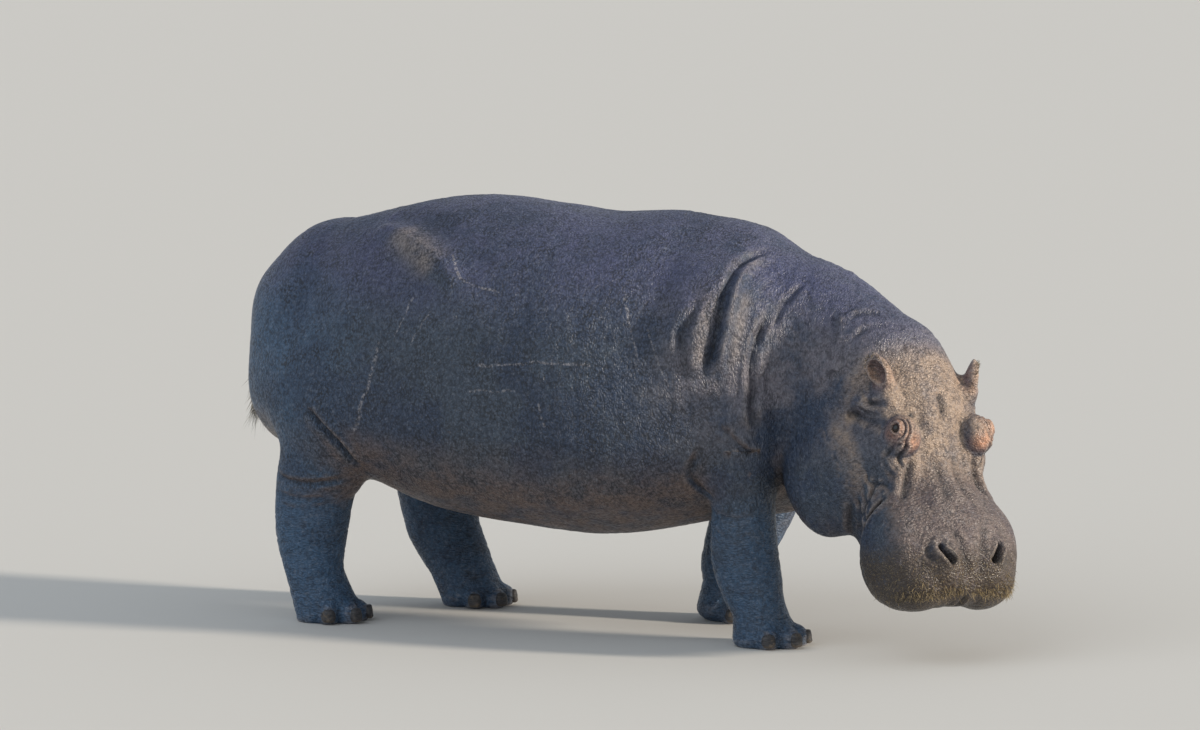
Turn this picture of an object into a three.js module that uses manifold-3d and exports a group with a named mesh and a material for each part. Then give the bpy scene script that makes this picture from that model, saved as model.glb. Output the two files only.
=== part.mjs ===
// A life-size standing hippopotamus, head lowered and turned to its right, as a still display model.
//
// Millimetres, +X towards the chest, +Y to the animal's left, +Z up, the soles at z = 0.
// The body is one smooth implicit field: tubes of elliptical sections for trunk, neck, legs and tail,
// and ellipsoid masses for muscle, all blended. Each sub-part is the field's surface, cut free with
// thin gaps along planes and cylinders. Nails, eyes and ears are pieces of their own, set in pockets.
import * as THREE from "three";
import { mergeVertices } from "three/addons/utils/BufferGeometryUtils.js";
import Module from "manifold-3d";

const wasm = await Module();
wasm.setup();

// ---- driving dimensions -------------------------------------------------------------------------
const BACK = 1500; // height of the back over the hips
const BELLY = 338; // lowest point of the belly
const TRACK = 275; // a foot's distance from the middle plane
const GAP = 0.4; // clearance between neighbouring solids
const FAR = 5000; // well outside the animal

const POLL = new THREE.Vector3(1311, -267, 970); // between the ears, under the crest
const HEAD_YAW = -40; // degrees about +Z: the head is turned to its right
const HEAD_PITCH = 59; // degrees that the face points down
const HEAD_ROLL = 5; // degrees that its left side is lower
const EYE = { at: [212, 186, 12], radius: 23 };
// Each ear is held its own way: its middle, the way its tip points and the way it opens.
const EARS = {
  left: { at: [28, 184, 16], axis: [-0.85, 0.2, 0.48], opening: [0.35, 0.8, 0.45] },
  right: { at: [-6, 202, 22], axis: [-0.8, 0.42, 0.25], opening: [0.1, 0.95, 0.3] },
};
const EAR_CUP = [34, 46, 58]; // half depth, half width, half height
const NAIL = [15, 24, 26]; // half thickness, half width, half height
const ANKLE = 122; // height of the cut between leg and foot
// Grid steps of the polygonised skin: along the sub-part, across it and up (for the head, its u, v, w).
const CELL = {
  trunk: [150, 128, 128],
  neck: [130, 110, 110],
  head: [57, 50, 50],
  leg: [64, 64, 128],
  foot: [50, 50, 56],
  tail: [28, 30, 90],
  limits: [120, 105, 105],
};

// ---- small maths --------------------------------------------------------------------------------
const clamp = (x, low, high) => Math.min(high, Math.max(low, x));
const mix = (a, b, t) => a + (b - a) * t;

// The union of two distances, rounded over about `k`.
function join(a, b, k) {
  const h = Math.max(k - Math.abs(a - b), 0) / k;
  return Math.min(a, b) - (h * h * h * k) / 6;
}

// A smooth curve through equally spaced rows of numbers, at t from 0 to rows.length - 1.
function through(rows, t) {
  const i = clamp(Math.floor(t), 0, rows.length - 2);
  const f = t - i;
  const at = (k) => rows[clamp(k, 0, rows.length - 1)];
  return rows[i].map((_, c) => {
    const [p0, p1, p2, p3] = [at(i - 1)[c], at(i)[c], at(i + 1)[c], at(i + 2)[c]];
    const [m1, m2] = [(p2 - p0) / 2, (p3 - p1) / 2];
    const cubic = (2 * p1 - 2 * p2 + m1 + m2) * f + (3 * p2 - 3 * p1 - 2 * m1 - m2);
    return (cubic * f + m1) * f + p1;
  });
}

// ---- implicit shapes ----------------------------------------------------------------------------
// A tube of elliptical sections. A station is [x, y, z, side, upper, lower]: a point of its spine and
// the section's half sizes. `upward` says which way upper points, `power` how boxy the section is, and
// `caps` how long its rounded ends are.
function tube(stations, { upward = [0, 0, 1], power = 2.2, caps = [150, 150], steps = 6 } = {}) {
  const count = (stations.length - 1) * steps + 1;
  const samples = Array.from({ length: count }, (_, i) => through(stations, i / steps));
  const spine = samples.map(([x, y, z]) => new THREE.Vector3(x, y, z));
  const reference = new THREE.Vector3(...upward);
  const frames = spine.map((_, i) => {
    const along = spine[Math.min(i + 1, count - 1)].clone().sub(spine[Math.max(i - 1, 0)]).normalize();
    const up = reference.clone().addScaledVector(along, -reference.dot(along)).normalize();
    return { along, up, side: up.clone().cross(along) };
  });
  const q = new THREE.Vector3();
  return (p) => {
    let nearest = 0;
    let least = Infinity;
    for (let i = 0; i < count; i++) {
      const d = p.distanceToSquared(spine[i]);
      if (d < least) [least, nearest] = [d, i];
    }
    let [best, share, from] = [Infinity, 0, 0];
    for (const i of [nearest - 1, nearest]) {
      if (i < 0 || i > count - 2) continue;
      const [a, b] = [spine[i], spine[i + 1]];
      const length2 = a.distanceToSquared(b);
      const dot = (p.x - a.x) * (b.x - a.x) + (p.y - a.y) * (b.y - a.y) + (p.z - a.z) * (b.z - a.z);
      const t = clamp(dot / length2, 0, 1);
      const d = q.copy(a).lerp(b, t).distanceToSquared(p);
      if (d < best) [best, share, from] = [d, t, i];
    }
    const [one, two] = [samples[from], samples[from + 1]];
    const [f1, f2] = [frames[from], frames[from + 1]];
    q.copy(spine[from]).lerp(spine[from + 1], share).negate().add(p);
    const part = (name) => mix(q.dot(f1[name]), q.dot(f2[name]), share);
    const [side, height] = [part("side"), part("up")];
    const half = mix(height > 0 ? one[4] : one[5], height > 0 ? two[4] : two[5], share);
    let sum = Math.abs(side / mix(one[3], two[3], share)) ** power + Math.abs(height / half) ** power;
    const beyond = part("along");
    if (from === 0 && share === 0 && beyond < 0) sum += Math.abs(beyond / caps[0]) ** power;
    if (from === count - 2 && share === 1 && beyond > 0) sum += Math.abs(beyond / caps[1]) ** power;
    const ratio = Math.max(sum ** (1 / power), 1e-4);
    return q.length() * (1 - 1 / ratio);
  };
}

// An ellipsoid, turned by degrees about its own Y (nose down is positive) and then about Z.
function mass(centre, radii, pitch = 0, yaw = 0) {
  const turn = new THREE.Quaternion().setFromEuler(
    new THREE.Euler(0, THREE.MathUtils.degToRad(pitch), THREE.MathUtils.degToRad(yaw), "ZYX"),
  );
  const back = turn.invert();
  const c = new THREE.Vector3(...centre);
  const r = new THREE.Vector3(...radii);
  const q = new THREE.Vector3();
  const s = new THREE.Vector3();
  return (p) => {
    q.copy(p).sub(c).applyQuaternion(back).divide(r);
    const k0 = Math.max(q.length(), 1e-4);
    return (k0 * (k0 - 1)) / s.copy(q).divide(r).length();
  };
}

const flip = new THREE.Vector3();
// The same shape on both sides of its own middle plane.
const both = (shape) => (p) => shape(flip.set(p.x, -Math.abs(p.y), p.z));
// Shapes joined one after another: [shape, rounding] pairs after the first.
function blended(first, ...others) {
  return (p) => others.reduce((d, [shape, k]) => join(d, shape(p), k), first(p));
}

// ---- the trunk ----------------------------------------------------------------------------------
const trunkTube = tube(
  [
    // x, y, z, half width, height above, depth below
    [-1010, 0, 862, 405, 556, 297],
    [-800, 0, 842, 530, 622, 322],
    [-500, 0, 800, 590, BACK - 800, 400],
    [-200, 0, 780, 600, BACK - 6 - 780, 780 - 356],
    [100, 0, 775, 592, 690, 775 - BELLY],
    [400, 0, 790, 535, 672, 398],
    [650, 0, 830, 430, 590, 350],
  ],
  { power: 2.25, caps: [290, 210] },
);
const croup = mass([-1084, 0, 1104], [226, 250, 190]);
const thigh = both(mass([-870, -330, 815], [250, 190, 290], -8));
const shoulderBlade = both(mass([500, -300, 960], [240, 190, 380], 12));
const brisket = mass([690, 0, 700], [190, 260, 260]);
const withers = mass([330, 0, 1290], [330, 200, 168]);
const hipRidge = mass([-480, 0, 1310], [330, 240, 182]);

const torso = blended(
  trunkTube, [croup, 140], [hipRidge, 150], [withers, 150], [shoulderBlade, 150], [brisket, 150],
);

// ---- the neck -----------------------------------------------------------------------------------
const neckTube = tube(
  [
    [480, 0, 960, 400, 440, 400],
    [760, -35, 930, 325, 406, 380],
    [960, -110, 876, 268, 366, 330],
    [1110, -185, 815, 245, 336, 300],
  ],
  { power: 2.2, caps: [150, 130] },
);

// ---- the head, in its own frame: u towards the lips, v to the left, w out of the face ------------
const headFrame = new THREE.Matrix4().compose(
  POLL,
  new THREE.Quaternion().setFromEuler(
    new THREE.Euler(
      THREE.MathUtils.degToRad(-HEAD_ROLL),
      THREE.MathUtils.degToRad(HEAD_PITCH),
      THREE.MathUtils.degToRad(HEAD_YAW),
      "ZYX",
    ),
  ),
  new THREE.Vector3(1, 1, 1),
);
const toHead = headFrame.clone().invert();

const cranium = mass([70, 0, -105], [215, 190, 150]);
const crest = mass([-60, 0, -86], [170, 150, 118]);
const bridge = tube(
  [
    // u, v, w, half width, height above, depth below
    [130, 0, -70, 120, 78, 120],
    [330, 0, -105, 92, 80, 120],
    [480, 0, -118, 120, 84, 120],
    [640, 0, -120, 150, 76, 120],
  ],
  { caps: [60, 90] },
);
const orbit = both(mass([224, -150, -12], [70, 62, 62]));
const earMound = both(mass([54, -166, -26], [58, 44, 46]));
const cheekbone = both(mass([190, -130, -140], [220, 100, 130], 4, 4));
const jowl = both(mass([168, -192, -358], [255, 130, 200], 0, 4));
const midJaw = mass([400, 0, -220], [270, 190, 150]);
const jawAngle = both(mass([176, -214, -456], [212, 116, 134]));
const muzzle = mass([575, 0, -166], [213, 240, 160]);
const lipLobe = both(mass([592, -172, -212], [176, 108, 150], 14));
const lipRoot = both(mass([436, -140, -196], [110, 96, 104]));
const nostrilMound = both(mass([668, -92, -78], [84, 60, 60]));
const lipFront = both(mass([706, -128, -180], [88, 106, 116]));
const lowerJaw = tube(
  [
    [130, 0, -350, 190, 90, 165],
    [420, 0, -340, 185, 90, 140],
    [630, 0, -300, 176, 90, 92],
  ],
  { caps: [120, 105] },
);

const headShape = blended(
  cranium, [crest, 90], [bridge, 60], [cheekbone, 60], [orbit, 40], [earMound, 40], [midJaw, 70],
  [jowl, 70], [jawAngle, 60],
  [muzzle, 120], [lipLobe, 60], [lipRoot, 80], [lipFront, 50], [nostrilMound, 45], [lowerJaw, 45],
);
const inHead = new THREE.Vector3();
const head = (p) => headShape(inHead.copy(p).applyMatrix4(toHead));

// ---- the legs -----------------------------------------------------------------------------------
// Each leg from the top down: [x, y, z, half width, front, back], y counted outwards. The last
// station is the middle of the foot.
const LEGS = {
  foreleg_right: [
    [600, 345, 800, 140, 200, 200],
    [635, 325, 640, 125, 150, 150],
    [657, 304, 511, 112, 114, 112],
    [660, 298, 407, 106, 114, 114],
    [664, 290, 302, 98, 121, 120],
    [690, 286, 198, 92, 110, 110],
    [712, 283, 128, 92, 94, 96],
    [724, TRACK, 40, 116, 118, 106],
  ],
  foreleg_left: [
    [560, 345, 800, 140, 200, 200],
    [525, 330, 620, 125, 160, 160],
    [482, 318, 440, 112, 146, 140],
    [425, 304, 310, 102, 138, 130],
    [390, 292, 200, 93, 113, 112],
    [384, 286, 128, 92, 94, 96],
    [378, TRACK, 40, 116, 118, 106],
  ],
  hindleg_right: [
    [-850, 340, 820, 150, 205, 230],
    [-905, 325, 620, 140, 165, 190],
    [-962, 308, 500, 128, 146, 146],
    [-984, 297, 375, 112, 137, 137],
    [-992, 288, 285, 100, 128, 126],
    [-980, 284, 165, 93, 106, 104],
    [-945, TRACK, 40, 114, 118, 104],
  ],
  hindleg_left: [
    [-800, 340, 820, 150, 210, 230],
    [-800, 335, 620, 140, 172, 175],
    [-785, 330, 480, 126, 152, 150],
    [-757, 322, 350, 110, 143, 143],
    [-735, 312, 272, 100, 136, 134],
    [-672, 300, 160, 94, 116, 118],
    [-622, TRACK + 15, 40, 114, 118, 104],
  ],
};
for (const [name, rows] of Object.entries(LEGS))
  for (const row of rows) if (name.endsWith("right")) row[1] *= -1;

// Four toes spread round the front of the sole: [angle from straight ahead, reach, size].
const TOES = [
  [-66, 90, 43],
  [-22, 99, 49],
  [22, 99, 49],
  [66, 90, 43],
];
function toeAt([x, y], [angle, reach]) {
  const turn = THREE.MathUtils.degToRad(angle);
  return [x + 12 + reach * Math.cos(turn), y + reach * Math.sin(turn)];
}

function legShape(rows) {
  const column = tube(rows, { upward: [1, 0, 0], power: 2.1, caps: [120, 60] });
  const foot = rows.at(-1);
  const toes = TOES.map((toe) => [
    mass([...toeAt(foot, toe), 30], [toe[2], toe[2] * 0.86, 46], 0, toe[0]), 26,
  ]);
  return blended(column, ...toes);
}
const legs = Object.fromEntries(Object.entries(LEGS).map(([name, rows]) => [name, legShape(rows)]));

// ---- the tail -----------------------------------------------------------------------------------
const tail = tube(
  [
    [-1190, 0, 1140, 62, 40, 40],
    [-1272, -2, 1060, 50, 34, 34],
    [-1308, -6, 945, 42, 28, 30],
    [-1316, -10, 840, 34, 20, 24],
    [-1312, -12, 748, 22, 13, 15],
  ],
  { upward: [1, 0, 0], caps: [40, 24] },
);

// ---- the whole skin -----------------------------------------------------------------------------
// The nape flows into the head, while the jowl only touches the chest, in a crease.
const body = blended(torso, [neckTube, 170], [thigh, 110]);
function flesh(p) {
  let d = body(p);
  for (const leg of Object.values(legs)) d = join(d, leg(p), 42);
  return join(d, head(p), mix(24, 90, THREE.MathUtils.smoothstep(p.z, 760, 1020)));
}

// ---- from a field to a solid --------------------------------------------------------------------
const CORNERS = [0, 1, 2, 3, 4, 5, 6, 7].map((c) => [c & 1, (c >> 1) & 1, c >> 2]);
const EDGES = [];
for (let m = 0; m < 8; m++) for (const bit of [1, 2, 4]) if (!(m & bit)) EDGES.push([m, m | bit]);

// Where a grid square has two opposite corners inside and two outside, the surface would touch itself
// along an edge, so the shallower inside corner is put outside. Says whether there was such a square.
function partTouching(value, count) {
  const steps = [1, count[0], count[0] * count[1]];
  let found = false;
  value.forEach((_, n) => {
    for (const [a, b] of [[0, 1], [0, 2], [1, 2]]) {
      const square = [n, n + steps[a] + steps[b], n + steps[a], n + steps[b]];
      const [p, q, r, s] = square.map((at) => value[at] < 0);
      if (p !== q || r !== s || p === r) continue;
      const [one, two] = p ? square : square.slice(2);
      const shallow = value[one] > value[two] ? one : two;
      value[shallow] = -value[shallow];
      found = true;
    }
  });
  return found;
}

// A field's surface, on a grid over the box from low to high in `frame`: one vertex in each crossed
// cell, moved onto the surface, and one quad across each crossed grid edge. Outside is empty.
function surface(field, low, high, cell, frame = new THREE.Matrix4()) {
  const count = low.map((l, c) => Math.ceil((high[c] - l) / cell[c]) + 1);
  const index = (i, j, k) => (k * count[1] + j) * count[0] + i;
  const place = (...at) => new THREE.Vector3(...at.map((n, c) => low[c] + n * cell[c])).applyMatrix4(frame);
  const value = new Float32Array(count[0] * count[1] * count[2]).fill(Math.min(...cell));
  for (let k = 1; k < count[2] - 1; k++)
    for (let j = 1; j < count[1] - 1; j++)
      for (let i = 1; i < count[0] - 1; i++) value[index(i, j, k)] = field(place(i, j, k));
  while (partTouching(value, count));

  const vertexOf = new Int32Array(value.length).fill(-1);
  const points = [];
  for (let k = 0; k < count[2] - 1; k++)
    for (let j = 0; j < count[1] - 1; j++)
      for (let i = 0; i < count[0] - 1; i++) {
        const v = CORNERS.map(([a, b, c]) => value[index(i + a, j + b, k + c)]);
        const crossed = EDGES.filter(([m, n]) => v[m] < 0 !== v[n] < 0);
        if (!crossed.length) continue;
        const at = [i, j, k].map((start, c) => {
          const share = ([m, n]) => mix(CORNERS[m][c], CORNERS[n][c], v[m] / (v[m] - v[n]));
          return start + crossed.reduce((total, edge) => total + share(edge), 0) / crossed.length;
        });
        const edge = at.some((x, c) => x < 2 || x > count[c] - 3);
        vertexOf[index(i, j, k)] = points.length;
        points.push(edge ? place(...at) : settle(place(...at), field, Math.min(...cell) / 2));
      }

  const faces = [];
  const quad = (a, b, c, d, turned) => {
    const [e, f, g, h] = turned ? [d, c, b, a] : [a, b, c, d];
    const short = points[e].distanceToSquared(points[g]) < points[f].distanceToSquared(points[h]);
    faces.push(...(short ? [e, f, g, e, g, h] : [f, g, h, f, h, e]));
  };
  for (let k = 0; k < count[2] - 1; k++)
    for (let j = 0; j < count[1] - 1; j++)
      for (let i = 0; i < count[0] - 1; i++) {
        const here = value[index(i, j, k)] < 0;
        const at = (a, b, c) => vertexOf[index(i - a, j - b, k - c)];
        if (here !== value[index(i + 1, j, k)] < 0)
          quad(at(0, 1, 1), at(0, 0, 1), at(0, 0, 0), at(0, 1, 0), !here);
        if (here !== value[index(i, j + 1, k)] < 0)
          quad(at(1, 0, 1), at(1, 0, 0), at(0, 0, 0), at(0, 0, 1), !here);
        if (here !== value[index(i, j, k + 1)] < 0)
          quad(at(1, 1, 0), at(0, 1, 0), at(0, 0, 0), at(1, 0, 0), !here);
      }
  return { points, faces };
}

// The point moved along the field's slope onto the surface, by no more than `most` in all.
function settle(point, field, most) {
  const start = point.clone();
  const slope = new THREE.Vector3();
  const probe = new THREE.Vector3();
  const step = 2;
  for (let pass = 0; pass < 2; pass++) {
    for (const axis of ["x", "y", "z"]) {
      probe.copy(point)[axis] += step;
      const ahead = field(probe);
      probe[axis] -= 2 * step;
      slope[axis] = (ahead - field(probe)) / (2 * step);
    }
    point.addScaledVector(slope, -field(point) / Math.max(slope.lengthSq(), 0.3));
  }
  return point.sub(start).clampLength(0, most).add(start);
}

// A closed surface as a manifold-3d solid, its vertices first moved outwards by `grow`.
function toSolid({ points, faces }, grow = 0) {
  const outwards = points.map(() => new THREE.Vector3());
  const face = new THREE.Triangle();
  const normal = new THREE.Vector3();
  for (let i = 0; i < faces.length; i += 3) {
    const corners = faces.slice(i, i + 3);
    face.set(...corners.map((c) => points[c])).getNormal(normal);
    for (const c of corners) outwards[c].addScaledVector(normal, face.getArea());
  }
  const moved = points.map((p, i) => p.clone().addScaledVector(outwards[i].normalize(), grow));
  return new wasm.Manifold(
    new wasm.Mesh({
      numProp: 3,
      vertProperties: new Float32Array(moved.flatMap((v) => [v.x, v.y, v.z])),
      triVerts: new Uint32Array(faces),
    }),
  );
}

// A three.js geometry, placed by a matrix, as a manifold-3d solid.
function solid(geometry, matrix = new THREE.Matrix4()) {
  const bare = geometry.clone().applyMatrix4(matrix);
  bare.deleteAttribute("normal");
  bare.deleteAttribute("uv");
  const merged = mergeVertices(bare, 1e-3);
  return new wasm.Manifold(
    new wasm.Mesh({
      numProp: 3,
      vertProperties: merged.getAttribute("position").array,
      triVerts: new Uint32Array(merged.index.array),
    }),
  );
}

function box(low, high, matrix) {
  const size = high.map((h, i) => h - low[i]);
  const middle = high.map((h, i) => (h + low[i]) / 2);
  return solid(new THREE.BoxGeometry(...size).translate(...middle), matrix);
}

// Everything beyond a plane: where the normal's dot product with the point is over `distance`.
function beyond(normal, distance) {
  const n = new THREE.Vector3(...normal);
  const turn = new THREE.Quaternion().setFromUnitVectors(new THREE.Vector3(0, 0, 1), n.clone().normalize());
  const matrix = new THREE.Matrix4().makeRotationFromQuaternion(turn);
  return box([-FAR, -FAR, distance / n.length()], [FAR, FAR, FAR], matrix);
}

// A profile drawn in a plane, thickened from `from` to `to` along that plane's own third axis.
function slab(profile, from, to, matrix) {
  const shape = new THREE.Shape(profile.map(([a, b]) => new THREE.Vector2(a, b)));
  const geometry = new THREE.ExtrudeGeometry(shape, { depth: to - from, bevelEnabled: false });
  return solid(geometry.translate(0, 0, from), matrix);
}

// ---- where the sub-parts are parted -------------------------------------------------------------
// The head is all that lies nearer to its own shape than to the body's, and the whole of its upper
// half from a plane behind the ears.
const headSide = (p) => {
  const nearer = head(p) - body(p);
  return Math.min(nearer, Math.max(-95 - inHead.x, -270 - inHead.z));
};
const headLimits = surface(headSide, [-480, -500, -800], [1000, 500, 340], CELL.limits, headFrame);
const neckPlane = (spare) => beyond([0.9, 0, 0.43], 1165 - spare);

// A leg is parted from the trunk by its outline seen from the side.
const sideways = new THREE.Matrix4().makeRotationX(Math.PI / 2);
function legRegion(rows, spare) {
  const outer = Math.sign(rows[0][1]);
  const knee = rows.findIndex((row) => row[2] < 420);
  const [[hipX], [kneeX, , kneeZ], [footX]] = [rows[1], rows[knee], rows.at(-1)];
  const profile = [
    [footX - 190 - spare, ANKLE - spare],
    [footX + 200 + spare, ANKLE - spare],
    [kneeX + 195 + spare, kneeZ],
    [hipX + 225 + spare, 600],
    [hipX + 200 + spare, 680 + spare],
    [hipX - 200 - spare, 680 + spare],
    [hipX - 225 - spare, 600],
    [kneeX - 195 - spare, kneeZ],
  ];
  const reach = [30 - spare, 800].map((y) => -outer * y);
  return slab(profile, Math.min(...reach), Math.max(...reach), sideways);
}

// The lower jaw, below the line of the lips: from their front to the corner of the mouth, and down.
const LIPS = [
  [940, -318], [700, -346], [525, -332], [462, -240], [408, -128], [384, -136],
  [398, -330], [312, -470], [272, -800], [940, -800],
];
// The head's u and w drawn as the profile's x and y, its v as the thickness.
const headSideways = headFrame.clone().multiply(sideways);

// An ellipsoid as a solid, each half size widened by `spare`.
function ball(radii, matrix, spare = 0, [around, down] = [9, 6]) {
  const geometry = new THREE.SphereGeometry(1, around, down);
  return solid(geometry.scale(...radii.map((r) => r + spare)), matrix);
}

// ---- the sub-parts ------------------------------------------------------------------------------
const parts = {};
const legRegions = Object.values(LEGS).map((rows) => legRegion(rows, GAP));
const spareHead = toSolid(headLimits, 2 * GAP);
const tailSkin = surface(tail, [-1450, -120, 560], [-1080, 120, 1300], CELL.tail);
const without = (from, cutters) => cutters.reduce((left, cutter) => left.subtract(cutter), from);

parts.trunk = without(
  toSolid(surface(body, [-1500, -840, 100], [1200, 840, 1750], CELL.trunk)),
  [neckPlane(GAP), spareHead, toSolid(tailSkin, 3 * GAP), toSolid(tailSkin), ...legRegions],
);
parts.neck = without(
  toSolid(surface(flesh, [400, -760, 150], [1700, 760, 1700], CELL.neck)).intersect(neckPlane(0)),
  [spareHead, ...legRegions],
);
parts.tail = toSolid(tailSkin);

// Eyes and ears, the same on both sides of the head.
const pockets = [];
for (const [name, side] of [["left", 1], ["right", -1]]) {
  const place = (at) => new THREE.Vector3(at[0], side * at[1], at[2]);
  const eye = headFrame.clone().multiply(new THREE.Matrix4().setPosition(place(EYE.at)));
  const axis = place(EARS[name].axis).normalize();
  const across = place(EARS[name].opening).cross(axis).normalize();
  const opening = axis.clone().cross(across);
  const ear = headFrame.clone().multiply(
    new THREE.Matrix4().makeBasis(opening, across.negate(), axis).setPosition(place(EARS[name].at)),
  );
  const inEar = (...at) => ear.clone().multiply(new THREE.Matrix4().setPosition(...at));
  const earOutside = (spare) =>
    ball(EAR_CUP, ear, spare)
      .add(ball([13, 20, 26], inEar(-8, 0, 46), spare, [6, 4]))
      .add(ball([26, 32, 34], inEar(-6, 0, -46), spare, [8, 4]));
  const cup = ball([36, 35, 46], inEar(29, 0, 4), 0, [8, 5]);
  parts[`eye_${name}`] = ball([EYE.radius, EYE.radius, EYE.radius], eye);
  parts[`ear_${name}`] = earOutside(0).subtract(cup);
  pockets.push(ball([EYE.radius, EYE.radius, EYE.radius], eye, 2 * GAP), earOutside(2 * GAP));
}

const jawRegion = (u, w) =>
  slab(LIPS, -600, 600, headSideways.clone().multiply(new THREE.Matrix4().setPosition(u, w, 0)));
const headSkin = without(
  toSolid(surface(flesh, [-420, -460, -760], [960, 460, 300], CELL.head, headFrame)),
  [...legRegions, ...pockets],
).intersect(toSolid(headLimits));
parts.jaw = headSkin.intersect(jawRegion(0, 0));
parts.head = without(headSkin, [jawRegion(0, 0), jawRegion(GAP, GAP), jawRegion(-GAP, GAP)]);

for (const [name, rows] of Object.entries(LEGS)) {
  const [x, y] = rows.at(-1);
  const xs = rows.map((row) => row[0]);
  const low = [Math.min(...xs) - 330, y - 360, -50];
  const high = [Math.max(...xs) + 330, y + 360, 900];
  parts[name] = toSolid(surface(flesh, low, high, CELL.leg)).intersect(legRegion(rows, 0));

  const footName = name.replace("leg", "foot");
  const nails = TOES.map((toe) => {
    const [toeX, toeY] = toeAt([x, y], [toe[0], toe[1] + toe[2] - 7]);
    const turn = new THREE.Matrix4().makeRotationZ(THREE.MathUtils.degToRad(toe[0]));
    return turn.setPosition(toeX, toeY, 32);
  });
  nails.forEach((place, i) => {
    parts[`nail_${footName}_${i + 1}`] = ball(NAIL, place, 0, [6, 4]);
  });
  const foot = toSolid(surface(flesh, [x - 236, y - 232, -118], [x + 264, y + 232, 260], CELL.foot));
  parts[footName] = without(
    foot.intersect(box([x - 230, y - 230, 0], [x + 260, y + 230, ANKLE - GAP])),
    nails.map((place) => ball(NAIL, place, 2 * GAP, [6, 4])),
  );
}

// ---- the model, its soles' level at z = 0 and its middle over the origin --------------------------
const LOOKS = [
  // the start of the names, colour, roughness
  ["eye", 0x2a1810, 0.12],
  ["nail", 0x34363b, 0.55],
  ["ear", 0x74605c, 0.7],
  ["tail", 0x3b3d44, 0.75],
  ["head", 0x6b605d, 0.62],
  ["jaw", 0x5c4b42, 0.7],
  ["neck", 0x4f545f, 0.62],
  ["trunk", 0x565a66, 0.6],
  ["fore", 0x474e59, 0.66],
  ["hind", 0x474e59, 0.66],
];

const root = new THREE.Group();
root.name = "hippopotamus";
for (const [name, made] of Object.entries(parts)) {
  const { vertProperties, triVerts, numProp } = made.getMesh();
  const geometry = new THREE.BufferGeometry()
    .setAttribute("position", new THREE.BufferAttribute(vertProperties, numProp))
    .setIndex(new THREE.BufferAttribute(triVerts, 1));
  const [, color, roughness] = LOOKS.find(([start]) => name.startsWith(start));
  const material = new THREE.MeshStandardMaterial({ color, roughness, metalness: 0 });
  const mesh = new THREE.Mesh(geometry, material);
  mesh.name = name;
  root.add(mesh);
}
const middle = new THREE.Box3().setFromObject(root).getCenter(new THREE.Vector3());
root.position.set(-middle.x, -middle.y, 0);

export default root;
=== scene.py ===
"""A life-size standing hippopotamus, head lowered and turned to its right, on a pale studio floor.

The body's shape is written once as a smooth field, in millimetres in the animal's own axes: tubes
for trunk, neck, legs and tail, and rounded masses for muscle, all blended. One hide is remeshed
from the solids of flesh, drawn onto that field, and then worked as clay is: folds, lids, nostrils,
lips and wrinkles. Eyeballs, nails and bristles are pieces of their own.
"""

import math

import bpy
import numpy as np
from mathutils import Matrix, Vector


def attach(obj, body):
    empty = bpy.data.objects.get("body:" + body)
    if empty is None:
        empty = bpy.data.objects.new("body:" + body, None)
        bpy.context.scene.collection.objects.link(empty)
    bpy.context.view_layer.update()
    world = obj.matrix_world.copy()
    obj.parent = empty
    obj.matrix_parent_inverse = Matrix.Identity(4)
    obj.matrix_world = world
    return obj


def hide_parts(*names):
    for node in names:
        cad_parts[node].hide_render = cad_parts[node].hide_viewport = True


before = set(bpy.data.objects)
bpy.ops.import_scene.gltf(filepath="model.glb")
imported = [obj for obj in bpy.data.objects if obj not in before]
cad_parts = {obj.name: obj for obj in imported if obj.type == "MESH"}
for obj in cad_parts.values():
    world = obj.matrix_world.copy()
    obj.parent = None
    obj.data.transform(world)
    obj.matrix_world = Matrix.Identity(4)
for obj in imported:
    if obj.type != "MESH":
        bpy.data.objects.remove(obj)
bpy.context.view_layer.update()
SEED = 7
rng = np.random.default_rng(SEED)

MM = 0.001  # one millimetre in metres
MIDDLE = np.array([-152.43, 13.74, 0.0])  # the animal's own origin in the frame, in millimetres
BODY_TRIANGLES, HEAD_TRIANGLES, FOOT_TRIANGLES = 76_000, 96_000, 22_000
VOXEL = 0.0085  # the first mesh's cell, in metres
# How widely one shape runs into the next, in millimetres.
LID_BLEND, EAR_BLEND, LEG_BLEND, TAIL_BLEND, SOLE_BLEND = 16, 22, 42, 26, 8
THROAT_BLEND, NAPE_BLEND = 24, 90


# ---- small maths --------------------------------------------------------------------------------
def mix(a, b, t):
    """From a at 0 to b at 1."""
    return a + (b - a) * t


def fade(x, low, high):
    """0 at low, 1 at high, smooth between; low may be the larger."""
    t = np.clip((x - low) / (high - low), 0, 1)
    return t * t * (3 - 2 * t)


def join(a, b, k):
    """The union of two distances, rounded over about k."""
    h = np.maximum(k - np.abs(a - b), 0) / k
    return np.minimum(a, b) - h * h * h * k / 6


def carve(a, b, k):
    """Distance a with b taken away, rounded over about k."""
    return -join(-a, b, k)


def through(rows, t):
    """A smooth curve through equally spaced rows, at t from 0 to the last row's number."""
    rows = np.asarray(rows, float)
    t = np.atleast_1d(np.asarray(t, float))
    last = len(rows) - 1
    i = np.clip(np.floor(t).astype(int), 0, last - 1)
    f = (t - i)[:, None]
    p0, p1, p2, p3 = (rows[np.clip(i + k, 0, last)] for k in (-1, 0, 1, 2))
    m1, m2 = (p2 - p0) / 2, (p3 - p1) / 2
    return (((2 * p1 - 2 * p2 + m1 + m2) * f + (3 * p2 - 3 * p1 - 2 * m1 - m2)) * f + m1) * f + p1


DICE = rng.uniform(-1, 1, 4096)
SPREAD = 73856093, 19349663, 83492791, 7919  # primes that scatter neighbouring cells over the dice


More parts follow.
